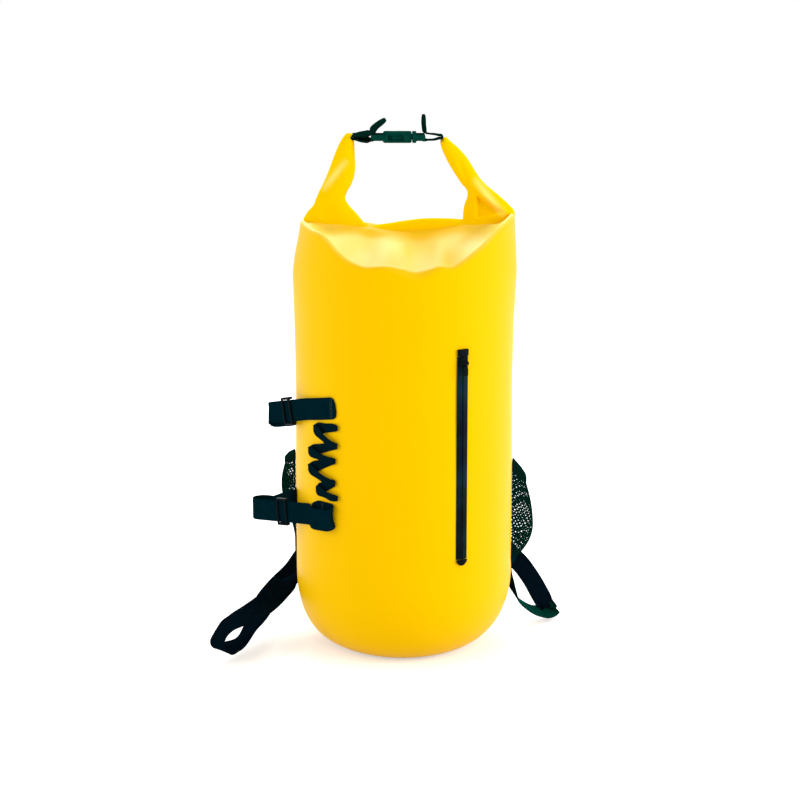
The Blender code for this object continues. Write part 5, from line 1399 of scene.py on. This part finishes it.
def net_mesh(name, word):
    """Rings of six faces round the holes of a hexagon lattice, laid on the pocket's sheet."""
    side, mouth_line = POCKETS[word][:2]
    wide = math.radians(mouth_line[-1][0] - mouth_line[0][0]) * WALL_RADIUS * 1.25
    tall = (max(height for _, height in mouth_line) - POCKET_BOTTOM) * 1.05
    columns, rows = int(wide / CELL_WIDE), int(tall / (CELL_TALL * 0.866))
    row, place = np.meshgrid(np.arange(rows), np.arange(columns), indexing='ij')
    across = (place + 0.5 + 0.5 * (row % 2)) / (columns + 0.5)
    up = (row + 0.5) / rows
    angle = np.radians(np.arange(6) * 60 + 30)
    corner = np.stack([np.cos(angle), np.sin(angle)], axis=1) / math.sqrt(3)
    centre = np.stack([across * (columns + 0.5), up * rows], axis=2)[..., None, :]
    scale = np.array([1, 1 / 0.866])
    outer, inner = centre + corner * scale, centre + corner * scale * CELL_HOLE
    both = np.concatenate([outer, inner], axis=2).reshape(-1, 2) / (columns + 0.5, rows)
    both = np.clip(both, 0, 1)
    points = pocket_sheet(both[:, 0], both[:, 1], word)
    start = 12 * np.arange(rows * columns)[:, None]
    ring = np.arange(6)[None, :]
    after = (ring + 1) % 6
    faces = np.stack([start + ring, start + after, start + 6 + after, start + 6 + ring], axis=2)
    faces = faces.reshape(-1, 4)[:, ::side]
    uv = (both * (wide, tall))[faces.ravel()]
    mesh = mesh_of(name, (points, faces.tolist(), uv), outward=False)
    shape = bmesh.new()
    shape.from_mesh(mesh)
    bmesh.ops.remove_doubles(shape, verts=shape.verts, dist=0.00004)
    bmesh.ops.dissolve_degenerate(shape, edges=shape.edges, dist=0.00002)
    shape.to_mesh(mesh)
    shape.free()
    return mesh


for word in POCKETS:
    name = word + "_pocket_net"
    net = add_piece(name, net_mesh(name, word), mesh_yarn, "root", "mesh", word + "_mesh_pocket")
    with_wall(net, NET_WALL, 0)
    share = np.linspace(0, 1, 60)
    edge = pocket_sheet(share, np.ones(60), word)
    path = evenly(edge + UP * (HEM_WIDTH / 2 - 0.0012), 0.002)
    hem = mesh_of(word + "_pocket_band", strap_grid(path, HEM_WIDTH, HEM_THICKNESS, UP))
    add_piece(word + "_pocket_band", hem, green_elastic, "root", "webbing", word + "_pocket_hem")
    print(word, "pocket", len(net.data.polygons), "net faces")

# %% [markdown]
# ## Pocket binding
# A folded tape covers the cut edge of each net where it is sewn to the wall. The net's own border could
# be thickened, but the tape has a weave of its own. It is three short straps, down one side, along the
# bottom and up the other side.

# %% Pocket binding
BINDING_WIDTH, BINDING_THICKNESS, BINDING_INSET = 0.0085, 0.0012, 0.004

for word in POCKETS:
    share = np.linspace(0, 1, 40)
    side, mouth_line = POCKETS[word][:2]
    low, high = np.full(40, BINDING_INSET), np.full(40, 1 - BINDING_INSET)
    edges = [pocket_sheet(low, share, word), pocket_sheet(share, low, word),
             pocket_sheet(high, share, word)]
    lifts = [around(side * mouth_line[0][0]), UP, around(side * mouth_line[-1][0])]
    tapes = [strap_grid(evenly(edge, 0.003), BINDING_WIDTH, BINDING_THICKNESS, lift)
             for edge, lift in zip(edges, lifts)]
    binding = mesh_of(word + "_pocket_binding", *tapes)
    add_piece(word + "_pocket_binding", binding, webbing, "root", "webbing")
    print(word, "binding", len(binding.vertices), "points")

# %% [markdown]
# ## Yoke and anchor tabs
# The shoulder straps hang from a patch that is welded across the back, and their lower ends are held by
# two small tabs near the base. They could be raised out of the skin, but then their edges would be
# soft. All three are wide straps of the bag's own sheet with rounded corners.

# %% Yoke and anchor tabs
YOKE_SPREAD, YOKE_MIDDLE, YOKE_WIDTH, YOKE_CORNER = 34.0, 0.413, 0.036, 0.012
TAB_AZIMUTH, TAB_SPREAD, TAB_MIDDLE, TAB_WIDTH, TAB_CORNER = 108.0, 9.0, 0.081, 0.034, 0.008
PATCH_THICKNESS = 0.0020


def patch_grid(middle, spread_out, height, width, radius):
    """A patch on the wall about a middle azimuth."""
    azimuth = np.linspace(middle - spread_out, middle + spread_out, 60)
    path = evenly(on_wall(azimuth, SEAT_GAP + PATCH_THICKNESS / 2, height), STRAP_STEP)
    return strap_grid(path, rounded_ends(path, width, radius), PATCH_THICKNESS, UP)


yoke = mesh_of("back_yoke", patch_grid(180, YOKE_SPREAD, YOKE_MIDDLE, YOKE_WIDTH, YOKE_CORNER))
add_piece("back_yoke", yoke, tarpaulin, "root", "tarpaulin", "yoke_patch")
for word, side in SIDES:
    patch = patch_grid(side * TAB_AZIMUTH, TAB_SPREAD, TAB_MIDDLE, TAB_WIDTH, TAB_CORNER)
    add_piece(word + "_strap_tab", mesh_of(word + "_strap_tab", patch), tarpaulin, "root", "tarpaulin",
              word + "_anchor_tab")
print("patches made")

# %% [markdown]
# ## Shoulder pads
# Each pad is foam in a knitted cover. The section is a rounded box, and a short cloth run with pressure
# inside swells it, which draws its sides in and crowns its faces. The sewn channel along both edges is
# pressed in afterwards, because the swelling would smooth it away.

# %% Shoulder pads
PAD_TOP, PAD_LENGTH, PAD_THICKNESS = 0.3946, 0.245, 0.0106
PAD_TOP_AZIMUTH, PAD_LOW_AZIMUTH = 162.0, 151.0
PAD_TOP_WIDTH, PAD_LOW_WIDTH = 0.0560, 0.0430
PAD_STAND_OFF, PAD_BOW, PAD_SEAT = 0.012, 0.026, 0.1304
PAD_PRESSURE, PAD_CAP, PAD_FRAMES, PAD_FILL = 4.0, 0.0012, 16, 0.6
CHANNEL_PLACE, CHANNEL_DEPTH, CHANNEL_WIDTH = 0.74, 0.0016, 0.06


def pad_grid(side, rows=84, columns=56):
    """Rounded sections along the pad's middle line; width and thickness close towards both ends."""
    share = np.linspace(0, 1, rows)
    azimuth = side * (PAD_TOP_AZIMUTH + (PAD_LOW_AZIMUTH - PAD_TOP_AZIMUTH) * share)
    distance = PAD_SEAT + PAD_STAND_OFF * share + PAD_BOW * np.sin(np.pi * share)
    middle = at(azimuth, distance, PAD_TOP - PAD_LENGTH * share)
    close = np.sqrt(np.clip(np.minimum(share + 0.004, 1.004 - share) / 0.035, 0, 1))
    half_width = (PAD_TOP_WIDTH + (PAD_LOW_WIDTH - PAD_TOP_WIDTH) * share) / 2 * (0.72 + 0.28 * close)
    half_deep = PAD_THICKNESS / 2 * (0.25 + 0.75 * close)
    wide, deep = rounded(full_turn(columns)[None, :], half_width[:, None], half_deep[:, None], 2.7)
    out = outwards(azimuth)[:, None]
    points = middle[:, None] + around(azimuth)[:, None] * wide[..., None] + out * deep[..., None]
    return points, out, wide / half_width[:, None], np.sign(deep), share[:, None]


def swollen(name, points):
    """Points of a closed grid after a cloth run with pressure inside, each moved by a cap at most."""
    thing = bpy.data.objects.new(name, mesh_of(name, grid(points)))
    scene.collection.objects.link(thing)
    cloth = thing.modifiers.new("cloth", 'CLOTH')
    cloth.settings.use_pressure = True
    cloth.settings.uniform_pressure_force = PAD_PRESSURE
    cloth.settings.effector_weights.gravity = 0
    cloth.point_cache.frame_end = PAD_FRAMES
    for frame_number in range(1, PAD_FRAMES + 1):
        scene.frame_set(frame_number)
    seen = thing.evaluated_get(bpy.context.evaluated_depsgraph_get())
    place = np.empty(points.size, dtype=np.float32)
    seen.data.vertices.foreach_get("co", place)
    scene.frame_set(1)
    bpy.data.objects.remove(thing)
    moved = place.reshape(points.shape) - points
    far = np.linalg.norm(moved, axis=2, keepdims=True)
    return points + moved * np.minimum(1, PAD_CAP / np.maximum(far, 1e-9))


for word, side in SIDES:
    name = word + "_pad"
    points, out, place, face, share = pad_grid(side)
    points = swollen(name, points)
    inside = smoothstep((share - 0.05) / 0.02) * smoothstep((0.95 - share) / 0.02)
    groove = CHANNEL_DEPTH * inside * hump(np.abs(place) - CHANNEL_PLACE, CHANNEL_WIDTH)
    points = points - out * (face * groove)[..., None]
    piece = add_piece(name, mesh_of(name, grid(points)), pad_cloth, "root", "padding",
                      word + "_shoulder_pad")
    print(name, len(piece.data.vertices), "points")

# %% [markdown]
# ## Ladder locks and lower webbing
# A ladder lock hangs from each pad and grips the lower webbing, which swings out beside the bag in a
# slack bight and comes back to its tab. The bights are what the photograph shows at both lower corners.
# A simulation would let them fall anywhere, so their routes are written down. The lock tilts to let the
# webbing run; the webbing is put on no body, and its place is baked into its points. Each row of a
# route is a place and then the direction of the width there.

# %% Ladder locks and lower webbing
LOCK_SIZES = (0.0110, 0.0034, 0.0035, 0.0030)
LOCK_MIDDLE, LOCK_LOW = 0.1382, 0.1272
LOCK_HELD, LOCK_DROP, LOCK_VOXEL = 0.1415, 0.0065, 0.0004
LOWER_WIDTH, LOWER_THICKNESS, LOWER_STEP = 0.0260, 0.0016, 0.0015
LOWER_ROUTES = {
    "left": [(-0.0830, 0.1230, 0.0980, -0.60, -0.40, 0.60), (-0.1115, 0.1004, 0.0830, -0.20, -0.20, 0.95),
             (-0.1313, 0.0620, 0.0599, -0.77, 0.13, 0.62), (-0.1501, 0.0350, 0.0472, -0.72, 0.15, 0.66),
             (-0.1652, 0.0040, 0.0351, -0.60, 0.70, 0.39), (-0.1734, -0.0340, 0.0252, -0.28, 0.96, 0.05),
             (-0.1844, -0.0640, 0.0177, -0.22, 0.98, -0.01), (-0.1941, -0.0800, 0.0147, -0.59, 0.79, 0.18),
             (-0.2037, -0.0910, 0.0138, -0.83, 0.55, 0.12), (-0.2089, -0.0955, 0.0219, -0.69, 0.73, -0.01),
             (-0.2065, -0.0950, 0.0317, -0.58, 0.81, -0.02), (-0.1997, -0.0880, 0.0393, -0.39, 0.91, 0.16),
             (-0.1892, -0.0740, 0.0433, -0.29, 0.93, 0.25), (-0.1758, -0.0570, 0.0459, -0.55, 0.71, 0.45),
             (-0.1622, -0.0400, 0.0497, -0.73, 0.33, 0.59), (-0.1395, 0.0000, 0.0625, -0.73, 0.37, 0.58),
             (-0.1355, 0.0280, 0.0615, -0.55, 0.75, -0.30), (-0.1268, 0.0385, 0.0655, -0.10, 0.95, -0.25)],
    "right": [(0.0839, 0.1220, 0.1000, 0.60, -0.40, 0.60), (0.1078, 0.1070, 0.0850, 0.30, -0.20, 0.90),
              (0.1259, 0.0900, 0.0752, 0.72, 0.54, 0.44), (0.1412, 0.0790, 0.0628, 0.68, 0.62, 0.39),
              (0.1530, 0.0745, 0.0471, 0.73, 0.62, 0.30), (0.1634, 0.0740, 0.0287, 0.75, 0.59, 0.31),
              (0.1702, 0.0730, 0.0169, 0.73, 0.65, 0.19), (0.1766, 0.0680, 0.0104, -0.05, 0.94, 0.33),
              (0.1687, 0.0620, 0.0096, 0.05, 0.94, 0.33), (0.1598, 0.0580, 0.0111, 0.05, 0.99, 0.12),
              (0.1456, 0.0520, 0.0195, 0.07, 0.99, -0.09), (0.1348, 0.0460, 0.0313, 0.02, 0.98, -0.19),
              (0.1300, 0.0435, 0.0414, -0.25, 0.97, 0.00), (0.1275, 0.0415, 0.0520, -0.25, 0.96, 0.00)]}
LOWER_LIE = WALL_RADIUS + 2 * SEAT_GAP + PATCH_THICKNESS + LOWER_THICKNESS
LOWER_SEWN = np.array([0.3, 0.6, 0.9])


def lower_path(word, side):
    """From inside the lock, down below it, along the slack route, and up onto the tab. The directions are
    a hundredth long, so that one smooth curve carries the places and the widths."""
    azimuth, distance = side * PAD_LOW_AZIMUTH, PAD_SEAT + PAD_STAND_OFF
    held = at(np.full(2, azimuth), distance, np.array([LOCK_HELD, LOCK_LOW - LOCK_DROP]))
    sewn = at(np.full(3, side * TAB_AZIMUTH), LOWER_LIE, TAB_MIDDLE + TAB_WIDTH * (LOWER_SEWN - 0.5))
    start = np.tile(around(azimuth) * -side, (2, 1))
    end = np.tile(around(side * TAB_AZIMUTH) * side, (3, 1))
    slack = np.array(LOWER_ROUTES[word])
    places = np.vstack([held, slack[:, :3], sewn])
    widths = np.vstack([start, slack[:, 3:], end]) * 0.01
    curve = evenly(through(np.hstack([places, widths]), 12), LOWER_STEP)
    return curve[:, :3], curve[:, 3:]


for word, side, finish in (("left", -1, dark_webbing), ("right", 1, webbing_with_lit_back)):
    azimuth, distance = side * PAD_LOW_AZIMUTH, PAD_SEAT + PAD_STAND_OFF
    down, out = -UP, outwards(azimuth)
    lock_grids = slide_grids(at(azimuth, distance, LOCK_MIDDLE), down, np.cross(out, down), LOCK_SIZES,
                             LOWER_WIDTH, LOWER_THICKNESS)
    lock = moulding(word + "_lock", LOCK_VOXEL, (), *lock_grids)
    add_piece(word + "_lock", lock, black_plastic, word + "_lock", "plastic", word + "_ladder_lock")
    path, across = lower_path(word, side)
    strap = mesh_of(word + "_lower_strap", strap_grid(path, LOWER_WIDTH, LOWER_THICKNESS, across))
    # The back attribute places the painted lit green on the right strap.
    mark_back(strap, len(path))
    piece = add_piece(word + "_lower_strap", strap, finish, None, "webbing", word + "_adjuster_webbing")
    tuple(at(azimuth, distance, LOCK_LOW))
    tuple(at(side * 134, 0.1499, 0.085))
    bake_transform(piece)
    print(word, "lower strap", round(len(path) * LOWER_STEP * 1000), "mm")

# %% [markdown]
# ## Stitches
# Bar tacks hold the sewn front end of each gear strap. A bump in the finish could hint at them, but it
# has no outline close up, so a stitch is a very small tube that dips into the cloth at both ends.

# %% Stitches
THREAD_BLACK, THREAD_GREY = (0.004, 0.008, 0.010), (0.02, 0.04, 0.045)
TACK_STITCHES, TACK_ROWS, TACK_PITCH, TACK_HALF = 9, 2, 0.0022, 0.0095

thread, tree, shader, place, _ = new_finish("black_thread")
connect(tree, shader, mixed(tree, noise(tree, place, 800.0), THREAD_BLACK, THREAD_GREY),
        spread(tree, noise(tree, place, 300.0), 0.4, 0.6))


def tack_ends(azimuth, height, lift):
    """Starts and ends of upright stitches in rows beside each other on the wall."""
    across = np.repeat(np.arange(TACK_ROWS) * TACK_PITCH, TACK_STITCHES)
    level = np.tile(np.linspace(-TACK_HALF, TACK_HALF, TACK_STITCHES), TACK_ROWS)
    turn = azimuth - np.degrees(across / WALL_RADIUS)
    low = on_wall(turn, lift, height + level - TACK_HALF / TACK_STITCHES)
    high = on_wall(turn, lift, height + level + TACK_HALF / TACK_STITCHES)
    return low, high, outwards(turn)


tacks = []
for front, _, heights, *_, lift in SIDE_STRAPS.values():
    back_off, rise = (5.0, KEEPER_RISE) if lift else (2.0, -0.0006)
    tacks += stitch_grids(*tack_ends(front - back_off, heights[0] + rise, SEAT_GAP + STRAP_THICKNESS))
tack_mesh = mesh_of("strap_tacks", *tacks)
add_piece("strap_tacks", tack_mesh, thread, "root", "webbing")
print("stitches", len(tacks))

# %% [markdown]
# ## Size
# The dressed bag has to keep the size of the imported one, so the box of the dressed bag is printed.

# %% Size
low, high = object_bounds()
print("visual box", [round(b - a, 3) for a, b in zip(low, high)])
